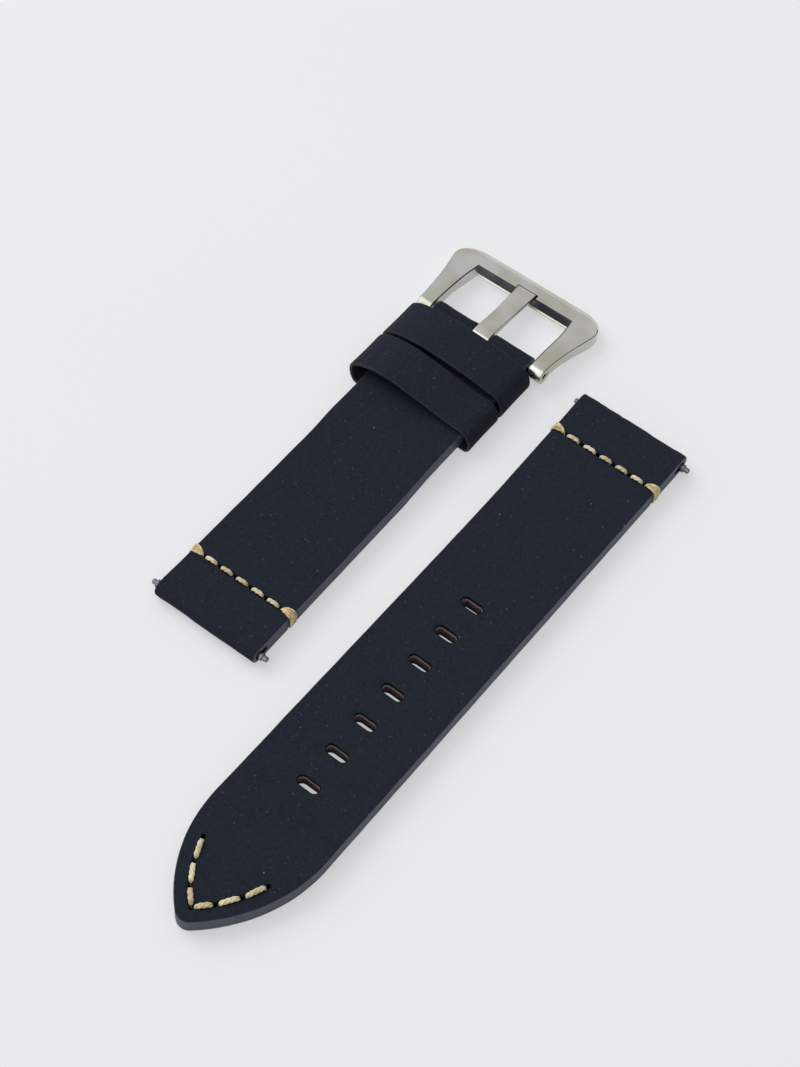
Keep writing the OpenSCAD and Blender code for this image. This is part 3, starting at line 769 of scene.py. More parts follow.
print("flat outline of the tail half:", len(tail_outline(0)), "points")

# %% [markdown]
# The stations to slice at are close together round a fold. The flap beneath has its own stations at
# negative s, counted along the grain side. Where the thread goes round an edge, the flap is pressed
# in over the whole fan of its turns.

# %% Stations and the flap
def stations(start, end, pitch):
    """Places to slice at, a pitch apart, that keep clear of both ends."""
    count = int((end - start) / pitch)
    return [start + pitch * (i + 0.5) for i in range(count)]


FOLD_STEPS = 18
FOLD_CUTS = [FOLD - math.pi * FOLD * k / FOLD_STEPS for k in range(FOLD_STEPS + 1)]
ACROSS = [-10.5, -8.4, -6.3, -4.2, -2.1, 0.0, 2.1, 4.2, 6.3, 8.4, 10.5]


def on_flap(s):
    """The flat blank's station for a place s on the turned-under lug flap."""
    return FOLD - math.pi * FOLD - (s - FOLD)


def wrap_groove(s, face, depth, materials):
    """The pressed place under the threads that go round an edge, at both edges."""
    tools = []
    for side in (-1, 1):
        outline = [Vector((s + x, side * w)) for x, w in ((-0.5, 9.5), (0.5, 9.5), (1.45, 13), (-1.45, 13))]
        if side < 0:
            outline.reverse()
        tools.append(slab(outline, [(face - depth, 0.1, FACE), (face + 0.6, 0, FACE)], materials, "press"))
    return tools


print("flat blank of the tail half: %.1f mm long" % (TAIL_LEN - on_flap(LUG_FLAP)))

# %% [markdown]
# ## The tail half
# Upper leather, filler and lining are three pieces. The slots go through all three, which is why
# their walls show a black rim of dye, painted darker as shade in the slot, the grey-brown of the
# hide, and the red-brown of the filler. The grain side closes a little round the punch, so its slots
# are narrower than those beneath, and they sit off the others by a hair, pulled by the punch. Under
# the strap each seam runs in a channel, which keeps the thread off the wrist.

# %% Upper leather of the tail half
STITCH_W, TOP_DENT, STITCH_END = 1.35, 0.38, 0.6
CHANNEL, CHANNEL_W, CHANNEL_END = 0.6, 1.3, 0.3
SLOT_PULL, SLOT_CLOSE = -0.15, 0.35
SLICE = 1.6


def bar_channel():
    """The round hollow that a spring bar lies in, with a near black wall of painted shade."""
    return rod(BAR_R, -HALF - 2, HALF + 2, (FOLD, FOLD), materials=[DYED_CUT_AND_SHADE])


def tail_upper():
    blank_end = on_flap(LUG_FLAP)
    materials = [HIDE, EDGE, HIDE_CUT, DYED_CUT_AND_SHADE]
    piece = slab(tail_outline(blank_end), rounded_up(UPPER), materials, "tail_upper_leather")
    pulled = Vector((SLOT_PULL, 0))
    tools = [punch(capsule(p + pulled, q + pulled, SLOT_W - SLOT_CLOSE), UPPER, 0.2, materials, DYED_AND_SHADED)
             for p, q in slot_lines]
    tools += [awl_hole(p, UPPER, materials, DYED_AND_SHADED) for p in tip_holes + row(TAIL_SEAM)]
    tools += [awl_hole((on_flap(p.x), p.y), UPPER, materials) for p in row(TAIL_SEAM)]
    cut(piece, tools)
    for holes in (row(TAIL_SEAM), tip_holes):
        cut_grooves(piece, pairs(holes), UPPER, TOP_DENT, materials, STITCH_W, STITCH_END)
    flap = on_flap(TAIL_SEAM)
    under = [(Vector((flap, p.y)), Vector((flap, q.y))) for p, q in pairs(row(TAIL_SEAM))]
    cut_grooves(piece, under, UPPER, CHANNEL, materials, CHANNEL_W, CHANNEL_END)
    cut(piece, wrap_groove(flap, UPPER, CHANNEL, materials))
    cuts = FOLD_CUTS + stations(FOLD + 1, TAIL_LEN, SLICE)
    slice_and_bend(piece, cuts, ACROSS, upper_shape, TAIL, bar_channel())
    stand_in(piece, "tail_half", "black_leather", "long_upper_leather")


tail_upper()

# %% [markdown]
# The filler fills the room between the upper leather's fold and the lining, and starts just behind
# the fold. The lining starts where the turned-under leather ends. Both are flat layers, so one
# function makes them, and those of the buckle half too.

# %% Filler and lining of the tail half
def flat_layer(name, outline, base, levels, materials, tools, frame_of_half, lifted, node, slot, body,
               grooves=()):
    piece = slab(outline, levels, materials, name)
    for group in tools:
        cut(piece, group)
    cut_grooves(piece, grooves, 0, -CHANNEL, materials, CHANNEL_W, CHANNEL_END)

    def shape(s, w, n):
        if lifted:
            return Vector((s, w, base + n + rise(s)))
        return Vector((s, hand_cut(s, w), base + n))

    cuts = stations(RISE_START - 1, RISE_END + 1, 0.8) if lifted else stations(4, TAIL_LEN, 6)
    slice_and_bend(piece, cuts, [], shape, frame_of_half)
    stand_in(piece, body, slot, node)


board = [BOARD_CUT, EDGE, BOARD_CUT]
liner = [LINING, EDGE, LINING_CUT]
FOLD_CLEAR = 0.35
CORE_START = 2 * FOLD + FOLD_CLEAR
flat_layer("tail_filler", tail_outline(CORE_START), LINER, square_edge(FILLER), board,
           [[punch(capsule(p, q, SLOT_W + 0.1), FILLER, 0.0, board) for p, q in slot_lines]
            + [awl_hole(p, FILLER, board) for p in tip_holes + row(TAIL_SEAM)]],
           TAIL, False, "long_core", "core_leather", "tail_half")
flat_layer("tail_lining", tail_outline(LUG_FLAP), 0, rounded_down(LINER), liner,
           [[punch(capsule(p, q, SLOT_W + 0.3), LINER, 0.0, liner) for p, q in slot_lines]
            + [awl_hole(p, LINER, liner) for p in tip_holes]],
           TAIL, False, "long_lining", "lining_leather", "tail_half", pairs(tip_holes))


# %% [markdown]
# ## The buckle half
# Its leather is folded at both ends: round the spring bar, and round the buckle's screw bar, where a
# slot gives the tongue room. The slot is punched in the flat blank, twice as long as it looks, and
# the fold brings both its ends together. Behind the keepers the strap rises a little off the table,
# because the fixed keeper passes beneath it.

# %% Upper leather of the buckle half
TONGUE_SLOT, TONGUE_SLOT_W = 85.875, 4.7
slot_end = TONGUE_SLOT + TONGUE_SLOT_W / 2
buckle_seam_holes, hidden_holes = row(BUCKLE_HALF_SEAM), row(BUCKLE_LEN - HIDDEN_SEAM)


def on_buckle_flap(s):
    """The flat blank's station for a place s on the leather turned under at the buckle."""
    return 2 * pin.x + math.pi * FOLD - s


def buckle_upper():
    materials = [HIDE, EDGE, HIDE_CUT, DYED_CUT_AND_SHADE]
    outline = strip_outline(on_flap(LUG_FLAP), on_buckle_flap(BUCKLE_LEN - BUCKLE_FLAP))
    piece = slab(outline, rounded_up(UPPER), materials, "buckle_half_upper_leather")
    seam, hidden = buckle_seam_holes, hidden_holes
    slot = capsule((slot_end, 0), (on_buckle_flap(slot_end), 0), TONGUE_SLOT_W)
    tools = [punch(slot, UPPER, 0.12, materials)]
    tools += [awl_hole(p, UPPER, materials, DYED_AND_SHADED) for p in seam + hidden]
    tools += [awl_hole((on_flap(p.x), p.y), UPPER, materials) for p in seam]
    tools += [awl_hole((on_buckle_flap(p.x), p.y), UPPER, materials) for p in hidden]
    cut(piece, tools)
    for holes in (seam, hidden):
        cut_grooves(piece, pairs(holes), UPPER, TOP_DENT, materials, STITCH_W, STITCH_END)
    flap = on_flap(BUCKLE_HALF_SEAM)
    turned = [(Vector((flap, p.y)), Vector((flap, q.y))) for p, q in pairs(seam)]
    cut_grooves(piece, turned, UPPER, CHANNEL, materials, CHANNEL_W, CHANNEL_END)
    cut(piece, wrap_groove(flap, UPPER, CHANNEL, materials))
    screw_cuts = [pin.x + math.pi * FOLD * k / FOLD_STEPS for k in range(FOLD_STEPS + 1)]
    cuts = FOLD_CUTS + stations(FOLD + 1, pin.x - 0.5, SLICE) + screw_cuts
    slice_and_bend(piece, cuts, ACROSS, lambda s, w, n: upper_shape(s, w, n, buckle_end=True),
                   BUCKLE, bar_channel())
    stand_in(piece, "buckle_half", "black_leather", "short_upper_leather")


buckle_upper()

# %% [markdown]
# The filler of this half stops short of both folds, and is notched where the tongue swings. Its
# lining reaches from one turned-under end to the other.

# %% Filler and lining of the buckle half
core_end = BUCKLE_LEN - CORE_START
notch = capsule((slot_end, 0), (core_end + 4, 0), TONGUE_SLOT_W)
flat_layer("buckle_half_filler", strip_outline(CORE_START, core_end), LINER, square_edge(FILLER), board,
           [[slab(notch, [(-PUNCH_PAST, 0, FACE), (FILLER + PUNCH_PAST, 0, FACE)], board)]
            + [awl_hole(p, FILLER, board) for p in buckle_seam_holes + hidden_holes]],
           BUCKLE, True, "short_core", "core_leather", "buckle_half")
flat_layer("buckle_half_lining", strip_outline(LUG_FLAP, BUCKLE_LEN - BUCKLE_FLAP), 0, rounded_down(LINER),
           liner, [], BUCKLE, True, "short_lining", "lining_leather", "buckle_half")

# %% [markdown]
# ## Keepers
# A keeper is a band of thinner hide, bent into a loop that is wider than the strap so that the tail
# passes. It lies flat on the table beneath the strap and humps above it. A Curve object with a
# profile would make such a loop, but it tilts its profile at tight bends. So the outline is a chain
# of curves, and each of its points carries the same small section, always square to the loop.

# %% Outline and section of a keeper
BEND_STEPS, KEEPER_FAR, KEEPER_NEAR = 14, 4.0, 2.5


def keeper_outline(crown_at, crown, saddle, shoulder):
    """A loop seen along the strap: its highest place, and the heights that it falls to beyond."""
    far, near, steps = HALF + KEEPER_FAR, HALF + KEEPER_NEAR, BEND_STEPS
    top, drop = (crown_at, crown), (1.6 - HALF, shoulder)
    chain = [straight((1.6 - near, 0), (far - 2, 0), 1.2),
             bezier((far - 2, 0), (far - 0.9, 0), (far, 1.5), (far, 3.8), steps)[:-1],
             bezier((far, 3.8), (far, 6.4), (crown_at + 6.5, crown), top, steps)[:-1],
             bezier(top, (crown_at - 5, crown - 0.15 * (crown - shoulder)), (-6, saddle), drop, steps)[:-1],
             bezier(drop, (1.3 - near, shoulder - 0.05), (-near, 4.4), (-near, 2.4), steps)[:-1],
             bezier((-near, 2.4), (-near, 0.9), (0.6 - near, 0), (1.6 - near, 0), steps)[:-1]]
    return [p for piece in chain for p in piece]


def band_section():
    """The loop round a band's section: (along the strap, depth below the outer face, material).

    Its corners are eased, as a maker eases a cut edge."""
    across = [(0.5 + (KEEPER_W - 1) * i / 7) for i in range(8)]
    outer = [(0.0, 0.24, SIDE), (0.05, 0.11, SIDE), (0.16, 0.03, FACE), (0.3, 0.0, FACE)]
    outer += [(s, 0.0, FACE) for s in across]
    outer += [(KEEPER_W - x, d, m) for x, d, m in
              ((0.3, 0.0, FACE), (0.16, 0.03, SIDE), (0.05, 0.11, SIDE), (0.0, 0.24, SIDE))]
    inner = [(KEEPER_W - x, KEEPER_T - d, m) for x, d, m in
             ((0.0, 0.2, SIDE), (0.06, 0.06, INSIDE), (0.2, 0.0, INSIDE))]
    inner += [(s, KEEPER_T, INSIDE) for s in reversed(across)]
    inner += [(0.2, KEEPER_T, INSIDE), (0.06, KEEPER_T - 0.06, SIDE), (0.0, KEEPER_T - 0.2, SIDE)]
    return outer + inner


print("corners round a keeper's section:", len(band_section()))

# %% [markdown]
# A band that is bent by hand is never quite even. Its outer face dishes a little in the middle of its
# width, its height sways, and its edges drift along the strap. Where it lies on the table, or under
# the strap, it stays flat.

# %% Keeper loops
DISH, SWAY, DRIFT = 0.05, 0.05, 0.06


def keeper(name, start, outline, base, seed):
    section, mesh, rings = band_section(), bmesh.new(), []
    for i, point in enumerate(outline):
        before, after = outline[i - 1], outline[(i + 1) % len(outline)]
        inward = Vector((before.y - after.y, after.x - before.x)).normalized()
        drift = waver(i / 7, seed, 1.0, DRIFT)
        ring = []
        for s, depth, _ in section:
            on_face = depth < 0.3 and min(s, KEEPER_W - s) >= 0.4
            dish = DISH * math.sin(math.pi * s / KEEPER_W) ** 2 if on_face else 0.0
            place = point + inward * (depth + dish)
            sway = waver(i / 5 + seed, s / 9, 1.0, SWAY) if place.y > 1.5 else 0.0
            ring.append(mesh.verts.new((start + s + drift, place.x, base + max(0.0, place.y + sway))))
        rings.append(ring)
    for i in range(len(rings)):
        one, two = rings[i - 1], rings[i]
        for k in range(len(section)):
            face = mesh.faces.new((one[k - 1], two[k - 1], two[k], one[k]))
            face.material_index = section[k - 1][2]
            face.smooth = True
    return as_object(mesh, name, [HIDE, KEEPER_EDGE, LINING])


print("keepers dish by %.2f mm and sway by %.2f mm" % (DISH, SWAY))

# %% [markdown]
# The fixed keeper is caught by the hidden seam, so its lower run has the seam's holes and channel.
# These overlap one another, and are cut one at a time.

# %% The two keepers
KEEPER_CLEAR, KEEPER_HOLE_W = 0.08, 0.8


def keeper_hole(p):
    slit = Vector((0.1, 0))
    levels = [(-PUNCH_PAST, 0, FACE), (KEEPER_T + 0.3, 0, FACE)]
    return slab(capsule(p - slit, p + slit, KEEPER_HOLE_W), levels, [LINING])


fixed = keeper("fixed_keeper_loop", FIXED_AT, keeper_outline(4, 7.85, 7.45, 6.5), KEEPER_CLEAR, 3.1)
fixed_cuts = [groove(p, q, KEEPER_CLEAR, -CHANNEL, 1.2, [LINING], 0.2) for p, q in pairs(hidden_holes)]
for tool in fixed_cuts + [keeper_hole(p) for p in hidden_holes]:
    cut(fixed, [tool])
sliding = keeper("sliding_keeper_loop", SLIDING_AT, keeper_outline(6, 8.0, 6.1, 5.75), 0, 0.4)
for loop, body, node in ((fixed, "buckle_half", "fixed_keeper"),
                         (sliding, "sliding_loop", "sliding_keeper")):
    set_in(loop, BUCKLE)
    stand_in(loop, body, "black_leather", node)
    print(loop.name, len(loop.data.polygons), "faces")

# %% [markdown]
# ## Stitches
# Every stitch is a short length of the same cord: three plies twisted round each other. It could be
# a smooth tube with a twist drawn by a bump, but the plies show in the outline of a stitch. Geometry
# Nodes lay it. The input is a mesh of bare paths with three attributes: the way out of the leather,
# how full the cord is there, and the number of its length. The tree turns each path to a curve,
# copies it once for each ply, winds every copy round the path as a helix, and gives it a round
# section. One tree makes the rows of stitches, and with other sizes the threads round the edges.
#
# The plies of a cord are helices round its path. Each point is shifted sideways by the cosine and
# outwards by the sine of an angle that grows along the path: one turn in each lay, and an equal share
# of a turn from ply to ply. Each stitch starts at a random angle, from a fixed seed. A stitch that is
# pulled tight is pressed flat on the leather: WIDER spreads its plies sideways, and FLATTER lowers them.

# %% Winding the plies
TWIST_SEED = 7
WIDER, FLATTER = 1.25, 0.75


def ply_angle(tree, sizes, ply):
    """How far round the path the numbered ply is, in radians."""
    along = add(tree, "GeometryNodeSplineParameter").outputs["Length"]
    stitch = add(tree, "GeometryNodeInputNamedAttribute", {0: "stitch"}, data_type="INT").outputs[0]
    start = add(tree, "FunctionNodeRandomValue", {7: stitch, 8: TWIST_SEED}).outputs[1]
    twist = add(tree, "ShaderNodeMath", {0: along, 1: sizes["Lay"]}, operation="DIVIDE").outputs[0]
    share = add(tree, "ShaderNodeMath", {0: ply, 1: sizes["Plies"]}, operation="DIVIDE").outputs[0]
    turns = add(tree, "ShaderNodeMath", {0: twist, 1: share}, operation="ADD").outputs[0]
    turns = add(tree, "ShaderNodeMath", {0: turns, 1: start}, operation="ADD").outputs[0]
    return add(tree, "ShaderNodeMath", {0: turns, 1: 2 * math.pi}, operation="MULTIPLY").outputs[0]


def winding(tree, sizes, ply, full):
    """The shift of a point of the numbered ply from the cord's path."""
    tangent = add(tree, "GeometryNodeInputTangent").outputs[0]
    out = add(tree, "GeometryNodeInputNamedAttribute", {0: "out"}, data_type="FLOAT_VECTOR").outputs[0]
    side = add(tree, "ShaderNodeVectorMath", {0: tangent, 1: out}, operation="CROSS_PRODUCT").outputs[0]
    side = add(tree, "ShaderNodeVectorMath", {0: side}, operation="NORMALIZE").outputs[0]
    over = add(tree, "ShaderNodeVectorMath", {0: side, 1: tangent}, operation="CROSS_PRODUCT").outputs[0]
    angle = ply_angle(tree, sizes, ply)
    reach = add(tree, "ShaderNodeMath", {0: sizes["Spread"], 1: full}, operation="MULTIPLY").outputs[0]
    shifts = []
    for way, wave, share in ((side, "COSINE", WIDER), (over, "SINE", FLATTER)):
        swing = add(tree, "ShaderNodeMath", {0: angle}, operation=wave).outputs[0]
        swing = add(tree, "ShaderNodeMath", {0: swing, 1: reach}, operation="MULTIPLY").outputs[0]
        swing = add(tree, "ShaderNodeMath", {0: swing, 1: share}, operation="MULTIPLY").outputs[0]
        shifts.append(add(tree, "ShaderNodeVectorMath", {0: way, 3: swing}, operation="SCALE").outputs[0])
    return add(tree, "ShaderNodeVectorMath", {0: shifts[0], 1: shifts[1]}, operation="ADD").outputs[0]


print("plies wind %.2f times as far sideways as outwards" % (WIDER / FLATTER))

# %% [markdown]
# The tree itself turns the paths to evenly stepped curves, copies them once for each ply, shifts the
# copies and gives them their round section. It ends in real mesh with the thread's material.

# %% The cord tree
CORD_INPUTS = (("Ply radius", "Float", 0.25), ("Spread", "Float", 0.21), ("Lay", "Float", 2.2),
               ("Plies", "Int", 3), ("Step", "Float", 0.14), ("Thread", "Material", None))
PLY_SIDES = 10


def cord_tree():
    """Ply radius, spread of the plies round the path, lay of one turn and step are in mm."""
    tree = bpy.data.node_groups.new("twisted_cord", "GeometryNodeTree")
    tree.interface.new_socket("Geometry", in_out="INPUT", socket_type="NodeSocketGeometry")
    for name, kind, value in CORD_INPUTS:
        socket = tree.interface.new_socket(name, in_out="INPUT", socket_type="NodeSocket" + kind)
        if value is not None:
            socket.default_value = value
    tree.interface.new_socket("Geometry", in_out="OUTPUT", socket_type="NodeSocketGeometry")
    sizes = add(tree, "NodeGroupInput").outputs
    curve = add(tree, "GeometryNodeMeshToCurve", {0: sizes["Geometry"]}).outputs[0]
    even = add(tree, "GeometryNodeResampleCurve", {0: curve, 3: sizes["Step"]}, mode="LENGTH").outputs[0]
    copies = add(tree, "GeometryNodeDuplicateElements", {0: even, 2: sizes["Plies"]}, domain="SPLINE")
    full = add(tree, "GeometryNodeInputNamedAttribute", {0: "full"}, data_type="FLOAT").outputs[0]
    shift = winding(tree, sizes, copies.outputs["Duplicate Index"], full)
    wound = add(tree, "GeometryNodeSetPosition", {0: copies.outputs[0], 3: shift}).outputs[0]
    ring = add(tree, "GeometryNodeCurvePrimitiveCircle", {0: PLY_SIDES, 4: sizes["Ply radius"]}).outputs[0]
    cord = add(tree, "GeometryNodeCurveToMesh", {0: wound, 1: ring, 2: full, 3: True}).outputs[0]
    soft = add(tree, "GeometryNodeSetShadeSmooth", {0: cord}).outputs[0]
    real = add(tree, "GeometryNodeRealizeInstances", {0: soft}).outputs[0]
    dressed = add(tree, "GeometryNodeSetMaterial", {0: real, 2: sizes["Thread"]}).outputs[0]
    add(tree, "NodeGroupOutput", {0: dressed})
    return tree


CORD = cord_tree()
print("cord tree:", len(CORD.nodes), "nodes")

# %% [markdown]
# The paths of one seam go into one mesh, so a seam is one piece. The tree's inputs are set by their
# identifiers, and the mesh that comes out of it takes the place of the paths.

# %% Laying cords along paths
def bare_paths(name, paths):
    """A mesh of edges only. Each path is a list of (point in mm, way out, fullness)."""
    points, edges, outward, full, stitch = [], [], [], [], []
    for length, path in enumerate(paths):
        for k, (point, out, fullness) in enumerate(path):
            if k:
                edges.append((len(points) - 1, len(points)))
            points.append(point)
            outward.extend(out)
            full.append(fullness)
            stitch.append(length)
    data = bpy.data.meshes.new(name)
    data.from_pydata(points, edges, [])
    data.attributes.new("out", "FLOAT_VECTOR", "POINT").data.foreach_set("vector", outward)
    data.attributes.new("full", "FLOAT", "POINT").data.foreach_set("value", full)
    data.attributes.new("stitch", "INT", "POINT").data.foreach_set("value", stitch)
    return data


def lay_cords(name, paths, frame_of_half, thread, body, node, **sizes):
    """Cords along paths. Sizes are inputs of the cord tree, with _ in place of a space."""
    if frame_of_half is TAIL:
        paths = [[((p[0], hand_cut(p[0], p[1]), p[2]), out, f) for p, out, f in path] for path in paths]
    piece = bpy.data.objects.new(name, bare_paths(name, paths))
    scene.collection.objects.link(piece)
    modifier = piece.modifiers.new("cord", "NODES")
    modifier.node_group = CORD
    keys = {item.name: item.identifier for item in CORD.interface.items_tree if item.in_out == "INPUT"}
    for label, value in dict(sizes, Thread=thread).items():
        modifier[keys[label.replace("_", " ")]] = value
    evaluated(piece)
    piece.data.name = name
    set_in(piece, frame_of_half)
    stand_in(piece, body, "ecru_thread", node)
    print(name, len(paths), "lengths of cord,", len(piece.data.polygons), "faces")


# %% [markdown]
# The paths of thread are listed as a few places, and a smooth curve goes through them. A Bezier
# object could carry the fullness as its radius, but needs handles at every place. So the curve is
# worked out on all the numbers of a place together, and the fullness changes as softly as the height.

# %% Smooth paths
def curve_through(points, steps):
    """A smooth path through points, each a tuple of numbers, in so many steps from point to point."""
    points = [Vector(p) for p in points]
    ends = [points[0] * 2 - points[1]] + points + [points[-1] * 2 - points[-2]]
    path = []
    for a, b, c, d in zip(ends, ends[1:], ends[2:], ends[3:]):
        for i in range(steps):
            t = i / steps
            path.append(0.5 * (2 * b + (c - a) * t + (2 * a - 5 * b + 4 * c - d) * t * t
                               + (3 * b - a - 3 * c + d) * t ** 3))
    return path + [points[-1]]


bend = curve_through([(0, 0), (1, 0), (1, 1)], 4)
print("a bend through three places has", len(bend), "points")

# %% [markdown]
# A stitch comes up out of one hole, thin where the leather grips it, swells as it is free, lies
# over the face and goes down the next hole. Half of that path is listed as places, heights and
# fullness, and the other half mirrors it. Saddle stitches lie a little aslant, because the two
# threads cross in every hole.

# %% Rows of stitches
SLANT, STANDS, SUNK, HOLE_DEEP = 0.16, 0.24, -0.46, -1.0


def stitch_path(p, q, face, above=STANDS, sign=1):
    """One stitch over a face, from hole to hole. sign -1 is for a stitch on the underside."""
    run = (q - p).length
    heading = (q - p).normalized()
    aside = Vector((-heading.y, heading.x)) * SLANT
    half = ((0.36, HOLE_DEEP, 0.35), (0.5, -0.85, 0.38), (0.63, -0.55, 0.5),
            (0.78, min(-0.12, above - 0.08), 0.82), (1.1, min(above, above * 0.8), 1.0),
            (0.5 * run, above, 1.05))
    shape = list(half) + [(run - x, z, full) for x, z, full in reversed(half[:-1])]
    rows = [(*(p + heading * x + aside * (x / run - 0.5)), face + sign * z, full) for x, z, full in shape]
    return [(v[:3], (0, 0, sign), v[3]) for v in map(tuple, curve_through(rows, 4))]


def both_faces(holes, low, high):
    """The stitches of a row on its upper face, and those in the channels of its lower face."""
    return ([stitch_path(p, q, high) for p, q in pairs(holes)]
            + [stitch_path(p, q, low, above=SUNK, sign=-1) for p, q in pairs(holes)])


COARSE = {"Ply_radius": 0.235, "Spread": 0.165, "Lay": 3.0, "Plies": 3, "Step": 0.13}
TIP = dict(COARSE, Ply_radius=0.27, Spread=0.19)
lay_cords("tail_lug_stitches", both_faces(row(TAIL_SEAM), 0, THICK), TAIL, THREAD,
          "tail_half", "long_lug_stitches", **COARSE)
lay_cords("tail_tip_stitches", both_faces(tip_holes, 0, THICK), TAIL, THREAD,
          "tail_half", "long_tip_stitches", **TIP)
lay_cords("buckle_half_lug_stitches", both_faces(buckle_seam_holes, 0, THICK), BUCKLE, THREAD,
          "buckle_half", "short_lug_stitches", **COARSE)
lay_cords("buckle_seam_stitches", both_faces(hidden_holes, KEEPER_CLEAR, LIFT + THICK), BUCKLE, THREAD,
          "buckle_half", "short_buckle_stitches", **COARSE)

# %% [markdown]
# At each end of a lug seam the thread goes round the edge several times before it is tied off, which
# takes the strain of the watch. The turns start from one hole, fan out and lie side by side at the
# edge. Every second one lies a little higher, over its neighbours. A turn is listed from the hole
# over the edge and back beneath: how much of its lean it has, where it is across, its height and how
# full it is.

# %% Threads round the edges
TURNS, FAN, OVER_NEIGHBOUR = 4, 1.45, 0.12


def turn_profile(hole, high):
    """One turn from its hole at w over the edge, with its highest stretch a little above high."""
    return ((0.0, hole + 0.1, THICK - 0.9, 0.5), (0.05, hole + 0.2, THICK - 0.15, 0.68),
            (0.5, 10.2, high + 0.17, 0.95), (0.92, 11.2, high + 0.2, 1.06),
            (1.0, 11.9, THICK + 0.02, 1.05), (1.02, 12.2, THICK - 0.5, 1), (1.0, 12.24, 1.9, 1),
            (1.0, 12.18, 0.75, 1), (0.98, 11.85, 0.36, 1), (0.85, 11.2, 0.3, 0.95),
            (0.5, 10.3, 0.32, 0.9), (0.1, hole + 0.2, 0.5, 0.7), (0.0, hole + 0.1, 0.9, 0.5))


def edge_turns(s, drift):
    """Turns at both ends of a seam. drift is how far they slip along the strap at the edge."""
    paths = []
    outer_hole = row(s)[-1].y
    for side in (-1, 1):
        for k in range(TURNS):
            lean = (k / (TURNS - 1) - 0.5) * FAN + drift
            profile = turn_profile(outer_hole, THICK + OVER_NEIGHBOUR * (k % 2))
            bare = [(s + lean * x, w, z, full) for x, w, z, full in profile]
            rows = [tuple(v) for v in curve_through(bare, 4)]
            path = []
            for i, (x, w, z, full) in enumerate(rows):
                before, after = rows[max(0, i - 1)], rows[min(len(rows) - 1, i + 1)]
                way_out = Vector((0, -(after[2] - before[2]), after[1] - before[1])).normalized()
                path.append(((x, side * w, z), Vector((0.01, side * way_out.y, way_out.z)), full))
            paths.append(path)
    return paths


FINE = {"Ply_radius": 0.175, "Spread": 0.05, "Lay": 2.4, "Plies": 2, "Step": 0.14}
lay_cords("tail_edge_threads", edge_turns(TAIL_SEAM, -0.35), TAIL, EDGE_THREAD,
          "tail_half", "long_edge_wraps", **FINE)
lay_cords("buckle_half_edge_threads", edge_turns(BUCKLE_HALF_SEAM, 0.2), BUCKLE, EDGE_THREAD,
          "buckle_half", "short_edge_wraps", **FINE)

# %% [markdown]
# ## Buckle
# The frame is milled from bar: two arms that rise to round lugs, and a broad far bar with a bevel.
# It could be an extruded outline, but its arms change height and width all along. So a chain of
# stations runs along it, each a pair of points on the inner and outer outline, and every station
# carries the same nine-cornered section. Its heights come from the side view: a curve for the top
# and one for the underside.

# %% Heights of the frame, seen from the side
LUG_R, FRAME_H, ARM_H = 1.85, 3.1, 2.2
ARM_IN, ARM_OUT, BUCKLE_HALF_W = 12.45, 15.75, 18.0
WINDOW_PAST, FAR_BAR = 13.5, 4.6
window_s = BUCKLE_LEN + WINDOW_PAST
far_s = window_s + FAR_BAR
CURVE_STEPS = 24


def height_on(curve, s):
    """The height of a curve of (s, z) points above the place s."""
    ordered = sorted(curve, key=lambda p: p[0])
    for a, b in zip(ordered, ordered[1:]):
        if a[0] <= s <= b[0]:
            return a[1] + (b[1] - a[1]) * (s - a[0]) / max(1e-9, b[0] - a[0])
    return ordered[0][1] if s < ordered[0][0] else ordered[-1][1]


lug_top = pin.z + LUG_R
arm_top = bezier((pin.x + 1.2, lug_top - 0.05), (pin.x + 5, lug_top - 0.1),
                 (window_s - 5, FRAME_H + 0.2), (window_s + 1, FRAME_H), CURVE_STEPS)
arm_low = bezier((pin.x + LUG_R * 0.8, pin.z - LUG_R * 0.6), (pin.x + 6, lug_top - ARM_H),
                 (window_s - 5, 0.1), (window_s - 1, 0), CURVE_STEPS)
print("window ends %.1f mm and far bar %.1f mm from the lug end" % (window_s, far_s))


def round_lug(s):
    return math.sqrt(max(0.0, LUG_R ** 2 - (s - pin.x) ** 2))


def frame_top(s):
    if s <= pin.x:
        return pin.z + round_lug(s)
    return height_on([(pin.x, lug_top)] + arm_top + [(far_s, FRAME_H)], s)


def frame_low(s):
    if s <= pin.x + LUG_R * 0.8:
        return pin.z - round_lug(s)
    return height_on(arm_low + [(far_s, 0)], s)


# %% [markdown]
# Seen from above, the outer side of an arm is a hollow curve that widens to the far bar, and the
# corner is a broad, uneven bend. The window is a little narrower there than between the lugs.
# Stations lie close together round a lug and at the corner, and far apart on the far bar.

# %% The frame's outline and stations
WINDOW_NARROWS = 0.6
window_w = ARM_IN - WINDOW_NARROWS
outer_arm = [(pin.x - LUG_R, ARM_OUT)] + bezier(
    (pin.x - 0.5, ARM_OUT), (pin.x + 4, ARM_OUT + 0.05),
    (window_s - 5, BUCKLE_HALF_W - 1.1), (window_s - 0.6, BUCKLE_HALF_W), CURVE_STEPS)
inner_arm = [(pin.x - LUG_R, ARM_IN)] + bezier(
    (window_s - 8, ARM_IN), (window_s - 5, ARM_IN), (window_s - 3, ARM_IN - 0.12), (window_s, window_w), 12)
corner = bezier((window_s, BUCKLE_HALF_W), (far_s - 1.84, BUCKLE_HALF_W - 0.1),
                (far_s - 0.1, BUCKLE_HALF_W - 2.76), (far_s, BUCKLE_HALF_W - 5.52), 14)


